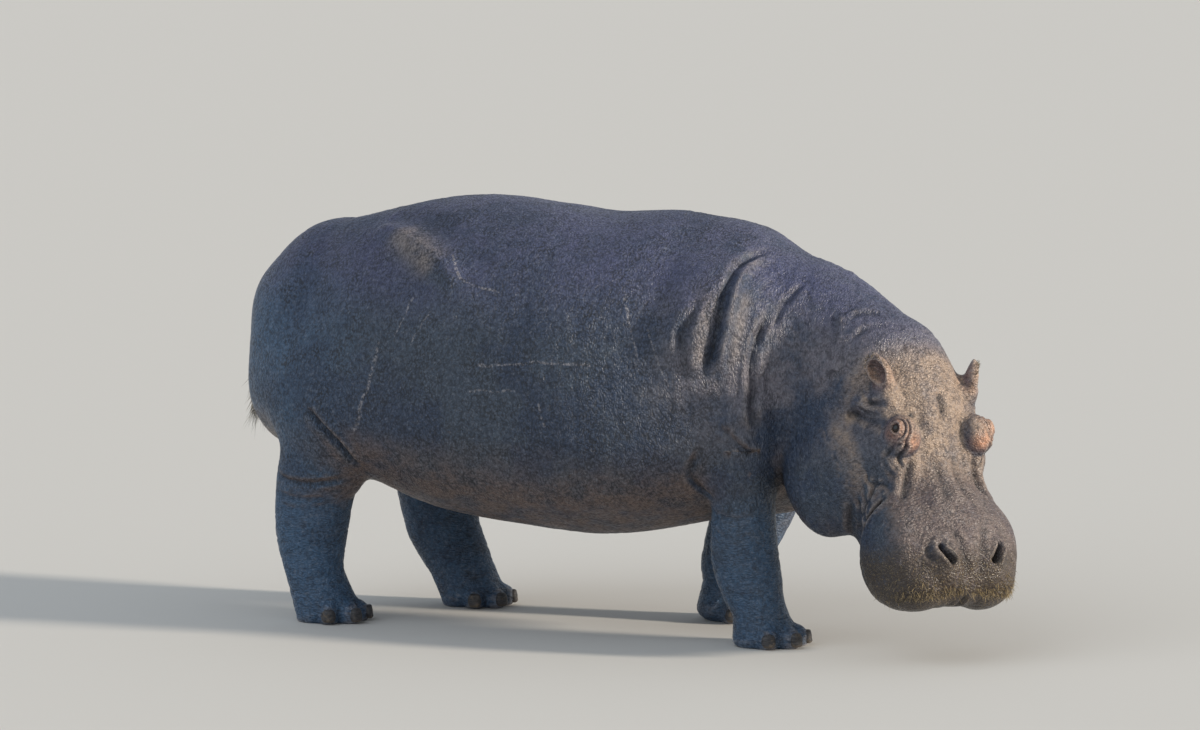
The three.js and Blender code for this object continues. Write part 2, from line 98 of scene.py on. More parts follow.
def lumps(points, size, seed=0):
    """Smooth seeded noise between -1 and 1. size is one length, or one for each axis."""
    q = points / size + 100.37
    base = np.floor(q).astype(np.int64)
    f = q - base
    f = f * f * (3 - 2 * f)
    total = np.zeros(len(q))
    for corner in range(8):
        step = np.array([corner & 1, corner >> 1 & 1, corner >> 2])
        i, j, k = ((base + step) * SPREAD[:3]).T
        key = i ^ j ^ k ^ seed * SPREAD[3]
        total += DICE[key & (len(DICE) - 1)] * np.where(step, f, 1 - f).prod(1)
    return total


def nearest_stretch(points, spine):
    """How far points lie from a line of points, how far along a stretch, and which stretch."""
    nearest = ((spine**2).sum(1)[None] - 2 * points @ spine.T).argmin(1)
    best = np.full(len(points), np.inf)
    share, start = np.zeros(len(points)), np.zeros(len(points), int)
    last = len(spine) - 2
    for i in (np.clip(nearest - 1, 0, last), np.clip(nearest, 0, last)):
        a, ab = spine[i], spine[i + 1] - spine[i]
        t = np.clip(((points - a) * ab).sum(1) / (ab * ab).sum(1), 0, 1)
        d = np.linalg.norm(points - a - ab * t[:, None], axis=1)
        closer = d < best
        best, share = np.where(closer, d, best), np.where(closer, t, share)
        start = np.where(closer, i, start)
    return best, share, start


# ---- the body's field ---------------------------------------------------------------------------
def tube(stations, upward=(0, 0, 1), power=2.2, caps=(150, 150), steps=10):
    """Rows of x, y, z, half width, half height above and below, as a field of distances.

    power is 2 for an oval section and more for a squarer one, and caps are the ends' bulges.
    """
    count = (len(stations) - 1) * steps + 1
    samples = through(stations, np.arange(count) / steps)
    spine = samples[:, :3]
    along = spine[np.minimum(np.arange(count) + 1, count - 1)]
    along = along - spine[np.maximum(np.arange(count) - 1, 0)]
    along /= np.linalg.norm(along, axis=1)[:, None]
    up = np.array(upward, float) - along * (along @ np.array(upward, float))[:, None]
    up /= np.linalg.norm(up, axis=1)[:, None]
    side = np.cross(up, along)

    def distance(p):
        best, share, start = nearest_stretch(p, spine)
        t = share[:, None]
        q = p - mix(spine[start], spine[start + 1], t)

        def part(axis):
            return mix((q * axis[start]).sum(1), (q * axis[start + 1]).sum(1), share)

        size = mix(samples[start], samples[start + 1], t)
        height = part(up)
        half = np.where(height > 0, size[:, 4], size[:, 5])
        total = np.abs(part(side) / size[:, 3]) ** power + np.abs(height / half) ** power
        past = part(along)
        before = (start == 0) & (share == 0) & (past < 0)
        after = (start == count - 2) & (share == 1) & (past > 0)
        total += np.where(before, np.abs(past / caps[0]) ** power, 0)
        total += np.where(after, np.abs(past / caps[1]) ** power, 0)
        return best * (1 - 1 / np.maximum(total ** (1 / power), 1e-4))

    return distance


def turned(pitch, yaw):
    """A turn nose down by pitch and then about the upright by yaw, in degrees."""
    pitch = Matrix.Rotation(math.radians(pitch), 3, "Y")
    return np.array(Matrix.Rotation(math.radians(yaw), 3, "Z") @ pitch)


def mass(centre, radii, pitch=0, yaw=0, axes=None):
    """An ellipsoid as a field of distances, turned by pitch and yaw or along given axes."""
    turn = turned(pitch, yaw) if axes is None else axes
    centre, radii = np.array(centre, float), np.array(radii, float)

    def distance(p):
        q = (p - centre) @ turn / radii
        k = np.maximum(np.linalg.norm(q, axis=1), 1e-4)
        return k * (k - 1) / np.maximum(np.linalg.norm(q / radii, axis=1), 1e-9)

    return distance


def both(shape):
    """The same shape on both sides of its middle plane."""
    return lambda p: shape(np.column_stack([p[:, 0], -np.abs(p[:, 1]), p[:, 2]]))


def blended(first, *others):
    """A shape that others join one by one, each rounded over its own width."""

    def distance(p):
        d = first(p)
        for shape, k in others:
            d = join(d, shape(p), k)
        return d

    return distance


trunk_tube = tube(
    [
        [-1010, 0, 862, 405, 556, 297],
        [-800, 0, 842, 530, 622, 322],
        [-500, 0, 800, 590, 700, 400],
        [-200, 0, 780, 600, 714, 424],
        [100, 0, 775, 592, 690, 437],
        [400, 0, 790, 535, 672, 398],
        [650, 0, 830, 430, 590, 350],
    ],
    power=2.25,
    caps=(290, 210),
)
torso = blended(
    trunk_tube,
    (mass([-1084, 0, 1104], [226, 250, 190]), 140),
    (mass([-480, 0, 1310], [330, 240, 182]), 150),
    (mass([330, 0, 1290], [330, 200, 168]), 150),
    (both(mass([500, -300, 960], [240, 190, 380], 12)), 150),
    (mass([690, 0, 700], [190, 260, 260]), 150),
)
neck_tube = tube(
    [
        [480, 0, 960, 400, 440, 400],
        [760, -35, 930, 325, 406, 380],
        [960, -110, 876, 268, 366, 330],
        [1110, -185, 815, 245, 336, 300],
    ],
    caps=(150, 130),
)
body = blended(torso, (neck_tube, 170), (both(mass([-870, -330, 815], [250, 190, 290], -8)), 110))

# The head's own frame: u towards the lips, v to the left, w out of the face.
POLL = np.array([1311.0, -267.0, 970.0])
HEAD = np.array(
    Matrix.Rotation(math.radians(-40), 3, "Z")
    @ Matrix.Rotation(math.radians(59), 3, "Y")
    @ Matrix.Rotation(math.radians(-5), 3, "X")
)
EYE, EYE_RADIUS, LID_THICKNESS = (212, 186, 12), 23, 5.5
NOSTRIL = (668, 95, -30)
# Each ear is held its own way: its middle, the way its tip points and the way it opens.
EAR_HELD = {
    1: ((28, 184, 16), (-0.85, 0.2, 0.48), (0.35, 0.8, 0.45)),
    -1: ((-6, 202, 22), (-0.8, 0.42, 0.25), (0.1, 0.95, 0.3)),
}


def to_head(p):
    """From the animal's axes to the head's."""
    return (p - POLL) @ HEAD


def from_head(q):
    """From the head's axes to the animal's."""
    return np.asarray(q, float) @ HEAD.T + POLL


bridge = tube(
    [
        [130, 0, -70, 120, 78, 120],
        [330, 0, -105, 92, 80, 120],
        [480, 0, -118, 120, 84, 120],
        [640, 0, -120, 150, 76, 120],
    ],
    caps=(60, 90),
)
lower_jaw = tube(
    [
        [130, 0, -350, 190, 90, 165],
        [420, 0, -340, 185, 90, 140],
        [630, 0, -300, 176, 90, 92],
    ],
    caps=(120, 105),
)
head_shape = blended(
    mass([70, 0, -105], [215, 190, 150]),
    (mass([-60, 0, -86], [170, 150, 118]), 90),
    (bridge, 60),
    (both(mass([190, -130, -140], [220, 100, 130], 4, 4)), 60),
    (both(mass([224, -150, -12], [70, 62, 62])), 40),
    (both(mass([54, -166, -26], [58, 44, 46])), 40),
    (mass([400, 0, -220], [270, 190, 150]), 70),
    (both(mass([168, -192, -358], [255, 130, 200], 0, 4)), 70),
    (both(mass([176, -214, -456], [212, 116, 134])), 60),
    (mass([575, 0, -166], [213, 240, 160]), 120),
    (both(mass([592, -172, -212], [176, 108, 150], 14)), 60),
    (both(mass([436, -140, -196], [110, 96, 104])), 80),
    (both(mass([706, -128, -180], [88, 106, 116])), 50),
    (both(mass([668, -92, -78], [84, 60, 60])), 45),
    (lower_jaw, 45),
)


def ear_middle(side):
    return np.array(EAR_HELD[side][0]) * [1, side, 1]


def ear_frame(side):
    """Columns: out of the ear's opening, across it and up to its tip, in the head's frame."""
    flip = np.array([1, side, 1])
    axis = np.array(EAR_HELD[side][1]) * flip
    axis /= np.linalg.norm(axis)
    across = np.cross(np.array(EAR_HELD[side][2]) * flip, axis)
    across /= np.linalg.norm(across)
    return np.column_stack([np.cross(axis, across), -across, axis])


def ear_shape(side):
    """An upright cup with a rounded tip, on a short stalk."""
    axes, at = ear_frame(side), ear_middle(side)

    def place(*offset):
        return at + axes @ np.array(offset, float)

    outside = blended(
        mass(place(0, 0, 0), [33, 45, 57], axes=axes),
        (mass(place(-8, 0, 46), [13, 20, 25], axes=axes), 18),
        (mass(place(-6, 0, -46), [27, 32, 36], axes=axes), 24),
    )
    cup = mass(place(28, 0, 5), [36, 34, 46], axes=axes)
    return lambda p: carve(outside(p), cup(p), 6)


EARS = [ear_shape(1), ear_shape(-1)]
LIDS = both(mass([EYE[0], -EYE[1], EYE[2]], [EYE_RADIUS + LID_THICKNESS] * 3))


def head_detail(q):
    """The head with its lids and ears, in its own frame."""
    d = join(head_shape(q), LIDS(q), LID_BLEND)
    for ear in EARS:
        d = join(d, ear(q), EAR_BLEND)
    return d


# Each leg from the top down: x, y, z, half width, front, back. The last row is the foot's middle.
LEGS = [
    [
        [600, -345, 800, 140, 200, 200],
        [635, -325, 640, 125, 150, 150],
        [657, -304, 511, 112, 114, 112],
        [660, -298, 407, 106, 114, 114],
        [664, -290, 302, 98, 121, 120],
        [690, -286, 198, 92, 110, 110],
        [712, -283, 128, 92, 94, 96],
        [724, -275, 40, 116, 118, 106],
    ],
    [
        [560, 345, 800, 140, 200, 200],
        [525, 330, 620, 125, 160, 160],
        [482, 318, 440, 112, 146, 140],
        [425, 304, 310, 102, 138, 130],
        [390, 292, 200, 93, 113, 112],
        [384, 286, 128, 92, 94, 96],
        [378, 275, 40, 116, 118, 106],
    ],
    [
        [-850, -340, 820, 150, 205, 230],
        [-905, -325, 620, 140, 165, 190],
        [-962, -308, 500, 128, 146, 146],
        [-984, -297, 375, 112, 137, 137],
        [-992, -288, 285, 100, 128, 126],
        [-980, -284, 165, 93, 106, 104],
        [-945, -275, 40, 114, 118, 104],
    ],
    [
        [-800, 340, 820, 150, 210, 230],
        [-800, 335, 620, 140, 172, 175],
        [-785, 330, 480, 126, 152, 150],
        [-757, 322, 350, 110, 143, 143],
        [-735, 312, 272, 100, 136, 134],
        [-672, 300, 160, 94, 116, 118],
        [-622, 290, 40, 114, 118, 104],
    ],
]
# Four toes spread round the front of the sole: degrees from straight ahead, reach and size.
TOES = [(-66, 90, 43), (-22, 99, 49), (22, 99, 49), (66, 90, 43)]


def toe_at(foot, angle, reach):
    """The x and y of a toe, round a point a little ahead of the foot's middle."""
    turn = math.radians(angle)
    return np.array([foot[0] + 12 + reach * math.cos(turn), foot[1] + reach * math.sin(turn)])


def leg_shape(rows):
    """One leg with its four toes."""
    toes = [
        (mass([*toe_at(rows[-1], angle, reach), 30], [size, size * 0.86, 46], 0, angle), 26)
        for angle, reach, size in TOES
    ]
    return blended(tube(rows, (1, 0, 0), 2.1, (120, 60)), *toes)


LEG_SHAPES = [leg_shape(rows) for rows in LEGS]
tail_shape = tube(
    [
        [-1190, 0, 1140, 62, 40, 40],
        [-1272, -2, 1060, 50, 34, 34],
        [-1308, -6, 945, 42, 28, 30],
        [-1316, -10, 840, 34, 20, 24],
        [-1312, -12, 748, 22, 13, 15],
    ],
    (1, 0, 0),
    caps=(40, 24),
)


def flesh(p):
    """The whole animal's skin, level under the soles."""
    d = body(p)
    for rows, shape in zip(LEGS, LEG_SHAPES):
        xs = [row[0] for row in rows]
        near = (p[:, 2] < 1100) & (p[:, 0] > min(xs) - 450) & (p[:, 0] < max(xs) + 450)
        d[near] = join(d[near], shape(p[near]), LEG_BLEND)
    near = p[:, 0] < -950
    d[near] = join(d[near], tail_shape(p[near]), TAIL_BLEND)
    near = p[:, 0] > 400
    some = p[near]
    k = mix(THROAT_BLEND, NAPE_BLEND, fade(some[:, 2], 760, 1020))
    h = head_detail(to_head(some))
    blend = np.maximum(k - np.abs(d[near] - h), 0) / k
    d[near] = np.minimum(d[near], h) - blend**3 * k / 6
    low = p[:, 2] < 60
    d[low] = carve(d[low], p[low, 2], SOLE_BLEND)
    return d


# ---- mesh helpers -------------------------------------------------------------------------------
def alone(obj):
    """Only this object is selected and active."""
    bpy.ops.object.select_all(action="DESELECT")
    obj.select_set(True)
    bpy.context.view_layer.objects.active = obj


def modifier(obj, kind, **values):
    """Adds a modifier and applies it."""
    alone(obj)
    made = obj.modifiers.new(kind.lower(), kind)
    for name, value in values.items():
        setattr(made, name, value)
    bpy.ops.object.modifier_apply(modifier=made.name)


def rows_of(data, name, width=3, kind=float):
    """One property of all the vertices, edges or faces of a mesh, a row for each."""
    values = np.empty(len(data) * width, kind)
    data.foreach_get(name, values)
    return values.reshape(-1, width)


def corners(obj):
    """The vertices in the animal's own millimetres."""
    return rows_of(obj.data.vertices, "co") / MM - MIDDLE


def put(obj, points):
    """Moves the vertices to points in the animal's own millimetres."""
    obj.data.vertices.foreach_set("co", ((points + MIDDLE) * MM).ravel())
    obj.data.update()


def normals(obj):
    return rows_of(obj.data.vertices, "normal")


def edge_ends(obj):
    return rows_of(obj.data.edges, "vertices", 2, int).T


def slope_of(field, points):
    """A field's distances, and how it rises for each millimetre along the three axes."""
    d = field(points)
    return d, np.column_stack([field(points + step) - d for step in np.eye(3)])


def settle(obj, passes=3):
    """Draws every vertex onto the field's surface, along its normal."""
    for _ in range(passes):
        points, out = corners(obj), normals(obj)
        d = flesh(points)
        slope = np.maximum(flesh(points + out) - d, 0.4)
        put(obj, points + out * np.clip(-d / slope, -14, 14)[:, None])


def settle_finely(obj, where, passes=3):
    """The same for the few vertices that where() picks, straight down the field's slope."""
    for _ in range(passes):
        points = corners(obj)
        picked = where(points)
        d, slope = slope_of(flesh, points[picked])
        size = np.maximum((slope**2).sum(1), 0.16)
        points[picked] -= slope * (np.clip(d, -8, 8) / size)[:, None]
        put(obj, points)


def picked_faces(obj, where):
    """Selects, in edit mode, the faces whose centres where() picks, and counts them."""
    mesh = obj.data
    picked = where(rows_of(mesh.polygons, "center") / MM - MIDDLE)
    alone(obj)
    bpy.context.tool_settings.mesh_select_mode = (False, False, True)
    for part in (mesh.vertices, mesh.edges):
        part.foreach_set("select", np.zeros(len(part), bool))
    mesh.polygons.foreach_set("select", picked)
    bpy.ops.object.mode_set(mode="EDIT")
    return int(picked.sum())


def finer(obj, where):
    """Subdivides the faces whose centres where() picks, in the animal's own millimetres."""
    picked_faces(obj, where)
    bpy.ops.mesh.subdivide(number_cuts=1)
    bpy.ops.mesh.select_all(action="DESELECT")
    bpy.ops.object.mode_set(mode="OBJECT")


# ---- the hide -----------------------------------------------------------------------------------
FLESH = [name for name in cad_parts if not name.startswith(("eye", "nail"))]


def outermost(obj):
    """Parts what isn't joined and keeps only the largest, so nothing is left inside the hide."""
    alone(obj)
    bpy.ops.mesh.separate(type="LOOSE")
    pieces = sorted(bpy.context.selected_objects, key=lambda piece: len(piece.data.vertices))
    for piece in pieces[:-1]:
        bpy.data.objects.remove(piece)
    alone(pieces[-1])
    return pieces[-1]


def rough_hide():
    """All the solids of flesh as one even mesh, on the body's field."""
    bpy.ops.object.select_all(action="DESELECT")
    copies = []
    for name in FLESH + ["eye_right", "eye_left"]:
        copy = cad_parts[name].copy()
        copy.data = copy.data.copy()
        copy.parent = None
        for key in list(copy.keys()):
            del copy[key]
        bpy.context.scene.collection.objects.link(copy)
        copies.append(copy)
        copy.select_set(True)
    bpy.context.view_layer.objects.active = copies[0]
    bpy.ops.object.join()
    hide = bpy.context.view_layer.objects.active
    hide.name = hide.data.name = "hide"
    alone(hide)
    bpy.ops.object.mode_set(mode="EDIT")
    bpy.ops.mesh.select_all(action="SELECT")
    bpy.ops.mesh.remove_doubles(threshold=1e-5)
    bpy.ops.object.mode_set(mode="OBJECT")
    hide.data.materials.clear()
    modifier(hide, "REMESH", mode="VOXEL", voxel_size=VOXEL)
    hide = outermost(hide)
    modifier(hide, "SMOOTH", factor=0.5, iterations=3)
    settle(hide, 3)
    mended(hide)
    return hide


def mended(obj, rounds=2):
    """Irons out the few places where the hide has folded over itself in a tight crease."""
    off_surface, turned_away, rings = 3, 0.4, 5
    a, b = edge_ends(obj)
    for _ in range(rounds):
        points, out = corners(obj), normals(obj)
        near = (points[:, 0] > 450) & (points[:, 2] > 150)
        d, slope = slope_of(flesh, points[near])
        folded = np.zeros(len(points), bool)
        facing = (out[near] * slope).sum(1)
        folded[near] = (np.abs(d) > off_surface) | (facing < turned_away)
        for _ in range(rings):
            wider = folded.copy()
            wider[a] |= folded[b]
            wider[b] |= folded[a]
            folded = wider
        group = obj.vertex_groups.new(name="folded")
        group.add(np.nonzero(folded)[0].tolist(), 1.0, "REPLACE")
        modifier(obj, "SMOOTH", factor=0.5, iterations=30, vertex_group="folded")
        obj.vertex_groups.clear()
        settle_finely(obj, lambda p: folded, 4)


def near_head(points, place, radius):
    """Which points lie within radius of a place in the head's frame, on both sides of it."""
    q = to_head(points)
    q[:, 1] = np.abs(q[:, 1])
    return np.linalg.norm(q - np.array(place, float), axis=1) < radius


def reach(start, direction, field, length=900):
    """Where straight lines from start, going along direction, first meet a field's surface."""
    start = np.atleast_2d(np.asarray(start, float))
    direction = np.asarray(direction, float)
    far = np.zeros(len(start))
    for _ in range(60):
        far += np.clip(field(start + direction * far[:, None]), -4, 40) * 0.7
    return start + direction * np.clip(far, 0, length)[:, None]


def between(pairs, count=4):
    """The same curve with more points on it."""
    return through(pairs, np.linspace(0, len(pairs) - 1, count * (len(pairs) - 1) + 1))


def on_flank(pairs, side):
    """Points of the skin at (x, z), seen from the animal's left (1) or right (-1)."""
    start = [(x, side * 800, z) for x, z in between(pairs)]
    return reach(start, (0, -side, 0), flesh)


def on_face(pairs, side):
    """Points of the skin at the head's (u, v), seen from in front of the face."""
    start = [(u, side * v, 250) for u, v in between(pairs)]
    return from_head(reach(start, (0, 0, -1), head_detail))


def on_cheek(pairs, side):
    """Points of the skin at the head's (u, w), seen from the head's left (1) or right (-1)."""
    start = [(u, side * 520, w) for u, w in between(pairs)]
    return from_head(reach(start, (0, -side, 0), head_detail))


# A stroke is a line on the skin, its half width, its depth, the ridges at its two sides as shares
# of the depth, and the share of its length over which each end fades. A depth below 0 raises it.
# The flanks' lines are written as x and z, and all fade over this share of their length.
FLANK_FADE = 0.22
RISE = (0.35, 0.2)
RIGHT_STROKES = [
    # the shoulder fold and the one behind the cheek, deep where the neck turns
    (
        [(700, 1368), (646, 1341), (630, 1225), (626, 1146), (605, 1026), (577, 943)],
        13, 17, (0.75, 0.2),
    ),
    ([(772, 1180), (742, 1079), (731, 977), (745, 850), (765, 740)], 13, 17, (0.35, 0.5)),
    ([(850, 1270), (800, 1190), (790, 1120)], 10, 7, (0.5, 0.3)),
    ([(640, 785), (690, 728), (736, 684)], 10, 7, (0.5, 0.3)),
    ([(548, 1240), (532, 1150), (500, 1090), (520, 1010), (516, 950)], 13, 7, (0.4, 0.6)),
    ([(560, 700), (530, 640), (523, 596), (545, 551), (585, 524)], 10, 11, (0.3, 0.4)),
    # the flank fold in front of the thigh, and the creases over the hock and the knee
    ([(-905, 790), (-855, 736), (-786, 659), (-736, 564)], 11, 19, (0.5, 0.35)),
    ([(-1090, 535), (-1010, 515), (-905, 512), (-805, 530)], 9, 9, (0.5, 0.4)),
    ([(-1080, 470), (-980, 452), (-880, 458)], 8, 5, (0.4, 0.4)),
    ([(590, 470), (660, 455), (735, 465)], 7, 5, (0.4, 0.4)),
    ([(585, 400), (660, 388), (740, 402)], 6, 4, (0.4, 0.4)),
    # the ridges of the hip bone and of the shoulder
    ([(-760, 1400), (-690, 1400), (-586, 1377), (-431, 1312), (-326, 1224)], 44, -22, RISE),
    ([(560, 1190), (548, 1120), (538, 1040), (540, 960)], 28, -13, RISE),
    ([(500, 1200), (470, 1110), (462, 1020)], 26, -11, RISE),
    ([(670, 1260), (664, 1180), (660, 1090), (640, 980)], 26, -13, RISE),
]
LEFT_STROKES = [
    ([(-700, 1400), (-586, 1377), (-431, 1312), (-326, 1224)], 44, -20, RISE),
    ([(600, 1240), (590, 1120), (570, 1000)], 26, -8, RISE),
    ([(640, 1330), (612, 1210), (590, 1080), (560, 960)], 15, 10, (0.5, 0.3)),
    ([(800, 1190), (790, 1080), (760, 960), (740, 840)], 14, 9, (0.4, 0.4)),
    ([(545, 800), (600, 745), (640, 705)], 10, 7, (0.5, 0.3)),
    ([(420, 690), (400, 620), (400, 560)], 10, 9, (0.3, 0.4)),
    ([(-860, 790), (-800, 730), (-735, 655), (-690, 575)], 11, 18, (0.5, 0.35)),
    ([(-960, 520), (-880, 500), (-700, 505)], 9, 8, (0.5, 0.4)),
    ([(-900, 430), (-800, 415), (-660, 425)], 8, 5, (0.4, 0.4)),
    ([(380, 430), (450, 415), (540, 430)], 7, 5, (0.4, 0.4)),
]
NAPE_ROLLS = [
    [(983, -280, 1178), (1009, -331, 1118), (1012, -358, 1062)],
    [(1028, -318, 1120), (1060, -280, 1160), (1105, -255, 1170), (1150, -240, 1160)],
    [(1075, -372, 1090), (1110, -320, 1118), (1160, -290, 1125), (1215, -250, 1112)],
    [(960, -60, 1265), (930, 20, 1255), (900, 90, 1220)],
    [(1090, -110, 1190), (1050, -20, 1170), (1020, 60, 1120)],
]
UNDER_TAIL = [(-1290, 0, 830), (-1250, 0, 720), (-1130, 0, 600)]
# On both sides of the head, as u and v seen from in front of the face.
FACE_STROKES = [
    # the nostril's slit, the roll outside it and the dip between it and the ridge of the nose
    ([(622, 124), (648, 119), (676, 102), (704, 80)], 8.5, 29, (0.3, 0.24), 0.22),
    ([(664, 106), (684, 94), (702, 78)], 11, 13, (0.1, 0.1), 0.3),
    ([(592, 118), (612, 150), (656, 160), (704, 132)], 9, 5, (0.3, 0.6), 0.3),
    ([(560, 66), (620, 52), (690, 34), (748, 26)], 13, 7, (0.3, 0.2), 0.3),
    # soft furrows beside the ridge of the nose and in front of the cheekbone
    ([(300, 42), (360, 38), (420, 40), (480, 52)], 15, 6, (0.2, 0.3), 0.3),
    ([(292, 128), (338, 140), (380, 152), (414, 168), (440, 192)], 13, 14, (0.25, 0.35), 0.25),
    # pouches under the eye
    ([(262, 178), (300, 172), (338, 152)], 6, 6, (0.5, 0.5), 0.3),
    ([(252, 204), (300, 198), (350, 178)], 7, 6, (0.5, 0.5), 0.3),
    ([(284, 222), (330, 212), (380, 190)], 7, 5, (0.5, 0.5), 0.3),
]
# The same as u and w, seen from the head's side.
CHEEK_STROKES = [
    # folds that run from the corner of the mouth over the cheek
    ([(300, -140), (340, -160), (376, -190), (410, -226), (430, -270)], 10, 8, (0.4, 0.3), 0.3),
    ([(312, -166), (356, -178), (410, -190), (450, -206)], 8, 5, (0.5, 0.4), 0.35),
    ([(346, -206), (382, -212), (422, -217), (462, -228)], 9, 7, (0.5, 0.4), 0.3),
    ([(330, -236), (370, -246), (420, -252), (462, -254)], 8, 4, (0.5, 0.4), 0.35),
    ([(350, -262), (374, -290), (402, -332), (431, -405)], 12, 9, (0.4, 0.3), 0.3),
    ([(456, -170), (470, -200), (478, -240)], 7, 3, (0.4, 0.4), 0.3),
    # rolls round the root of the ear, and the hollow behind the eye
    ([(-40, -70), (20, -86), (74, -64), (100, -14)], 8, 8, (0.6, 0.4), 0.3),
    ([(-50, -96), (20, -116), (92, -96), (128, -40)], 8, 6, (0.6, 0.4), 0.3),
    ([(45, -199), (84, -140), (122, -96), (172, -30)], 16, 13, (0.25, 0.35), 0.3),
]
BROW_DIP = [(84, 0), (130, 2), (200, 0)]
LIP_PARTING = [(752, 0, -90), (790, 0, -150), (796, 0, -200)]


def body_strokes():
    """Folds and ridges of the flanks, rolls of the nape and the parting under the tail."""
    strokes = []
    for side, rows in ((-1, RIGHT_STROKES), (1, LEFT_STROKES)):
        strokes += [(on_flank(line, side), *rest, FLANK_FADE) for line, *rest in rows]
    strokes += [(np.array(line, float), 9, 7, (0.8, 0.3), 0.3) for line in NAPE_ROLLS]
    strokes.append((np.array(UNDER_TAIL, float), 24, 26, (0.2, 0.2), 0.2))
    return strokes


def head_strokes():
    """Nostrils, furrows and pouches of the face, folds of the cheek and the parting of the lip."""
    strokes = []
    for side in (-1, 1):
        strokes += [(on_face(line, side), *rest) for line, *rest in FACE_STROKES]
        strokes += [(on_cheek(line, side), *rest) for line, *rest in CHEEK_STROKES]
    strokes.append((on_face(BROW_DIP, 1), 12, 10, (0.3, 0.3), 0.4))
    strokes.append((from_head(between(LIP_PARTING)), 9, 8, (0.3, 0.3), 0.3))
    return strokes


# The line of the lips in the head's u and w, from the front to the corner of the mouth.
LIPS = [(800, -352), (700, -346), (580, -338), (525, -326), (480, -270), (440, -190), (408, -128)]


def along(points, line):
    """How far points lie from a curve, where along it (0 to 1), their offset and its way there."""
    curve = between(line, 10)
    best, share, start = nearest_stretch(points, curve)
    way = curve[start + 1] - curve[start]
    offset = points - curve[start] - way * share[:, None]
    return best, (start + share) / (len(curve) - 1), offset, way


def drawn(points, out, strokes):
    """What the strokes add along the normals, and how deep in a crease each point lies."""
    push, hollow = np.zeros(len(points)), np.zeros(len(points))
    for line, width, depth, ridges, taper in strokes:
        margin = 5 * width  # past this a stroke adds nothing that shows
        near = ((points > line.min(0) - margin) & (points < line.max(0) + margin)).all(1)
        if not near.any():
            continue
        d, t, offset, way = along(points[near], line)
        strength = fade(t, 0, taper) * fade(1 - t, 0, taper) + 0.12 * (d < margin)
        strength = np.clip(strength, 0, 1)
        hand = (np.cross(way, offset) * out[near]).sum(1) > 0
        ridge = np.where(hand, ridges[0], ridges[1])
        groove = np.exp(-((d / width) ** 2))
        crest, breadth = 2.3 * width, 1.25 * width
        roll = np.exp(-(((d - crest) / breadth) ** 2)) * ridge
        push[near] += depth * strength * (roll - groove)
        hollow[near] = np.maximum(hollow[near], groove * strength * min(1, depth / 9))
    return push, hollow


# Painted highlights, paler places where the hide stands out: a line on the skin, its half width and
# strength.
HIP_BONE = [(-660, 1395), (-586, 1370), (-500, 1330), (-431, 1285)]
PAINTED_SUNLIT_RIDGES = [
    (on_flank(HIP_BONE, -1), 56, 0.6),
    (on_flank(HIP_BONE, 1), 56, 0.6),
    (on_flank([(590, 1250), (572, 1120), (560, 980)], -1), 24, 0.4),
    (on_flank([(700, 1250), (690, 1120), (670, 980)], -1), 24, 0.35),
    (on_flank([(610, 1250), (592, 1120), (570, 980)], 1), 24, 0.4),
]
# Soft rises and dips of muscle and bone: where, half sizes and height.
SWELLS = [
    ([-520, -400, 1210], [110, 110, 90], -10),  # the hollows under the hip bones
    ([-500, 400, 1210], [110, 110, 90], -10),
    ([560, -470, 1060], [34, 80, 130], 9),  # the shoulders' edges
    ([470, -500, 1080], [40, 80, 150], 8),
    ([520, 480, 1060], [50, 80, 150], 9),
    ([-150, -560, 640], [420, 120, 60], -7),  # the belly's upper lines
    ([-150, 560, 640], [420, 120, 60], -7),
    ([-1180, -200, 1010], [90, 110, 160], 8),  # the buttocks
    ([-1180, 200, 1010], [90, 110, 160], 8),
]
# The same on the head, in its frame and on both sides.
HEAD_SWELLS = [
    ([292, 196, -74], [52, 24, 44], 9),  # the cheekbone's edge
    ([376, 174, -100], [52, 22, 44], 9),
    ([366, 134, -100], [80, 24, 60], -11),  # the hollow between it and the bridge
    ([188, 84, -18], [55, 27, 45], -11),  # the dip between forehead and eye
    ([262, 66, -20], [34, 22, 34], 6),
    ([150, 50, 10], [52, 24, 44], 8),  # the two low bumps of the forehead
    ([57, 212, -90], [30, 44, 28], 20),  # the knob behind the eye
    ([120, 225, -95], [60, 60, 34], -8),
    ([530, 170, -75], [95, 50, 64], 9),  # the tusk's root and the edge of the muzzle over it
    ([565, 222, -112], [120, 40, 62], 13),
    ([642, 134, -40], [48, 26, 44], 8),  # the nostril's outer rim
    ([716, 92, -70], [40, 34, 44], 7),
    ([700, 0, -40], [70, 24, 60], -5),
    ([250, 230, -260], [120, 70, 110], 10),  # the muscle of the jaw
]


def swollen(points):
    """What muscle and bone add along the normals."""
    push = np.zeros(len(points))
    for centre, size, height in SWELLS:
        push += height * np.exp(-(((points - centre) / size) ** 2).sum(1))
    near = points[:, 0] > 900
    q = to_head(points[near])
    q[:, 1] = np.abs(q[:, 1])
    for centre, size, height in HEAD_SWELLS:
        push[near] += height * np.exp(-(((q - centre) / size) ** 2).sum(1))
    return push


def creased(points, size, seed):
    """Thin wandering creases, 0 between them and 1 in them."""
    n = lumps(points, size, seed) + 0.4 * lumps(points, np.asarray(size) * 0.45, seed + 1)
    return np.clip(1 - np.abs(n) * 3.2, 0, 1) ** 2


def shares(points):
    """How far each point belongs to the head, the neck, a leg and the trunk: four shares of one."""
    x, z = points[:, 0], points[:, 2]
    head = fade(to_head(points)[:, 0], -130, -10) * fade(x, 860, 950)
    neck = fade(x, 520, 700) * (1 - head) * fade(z, 560, 680)
    leg = fade(z, 560, 430) * (1 - head) * (1 - fade(x, 760, 840) * fade(z, 380, 420))
    return head, neck, leg, np.clip(1 - head - neck - leg, 0, 1)


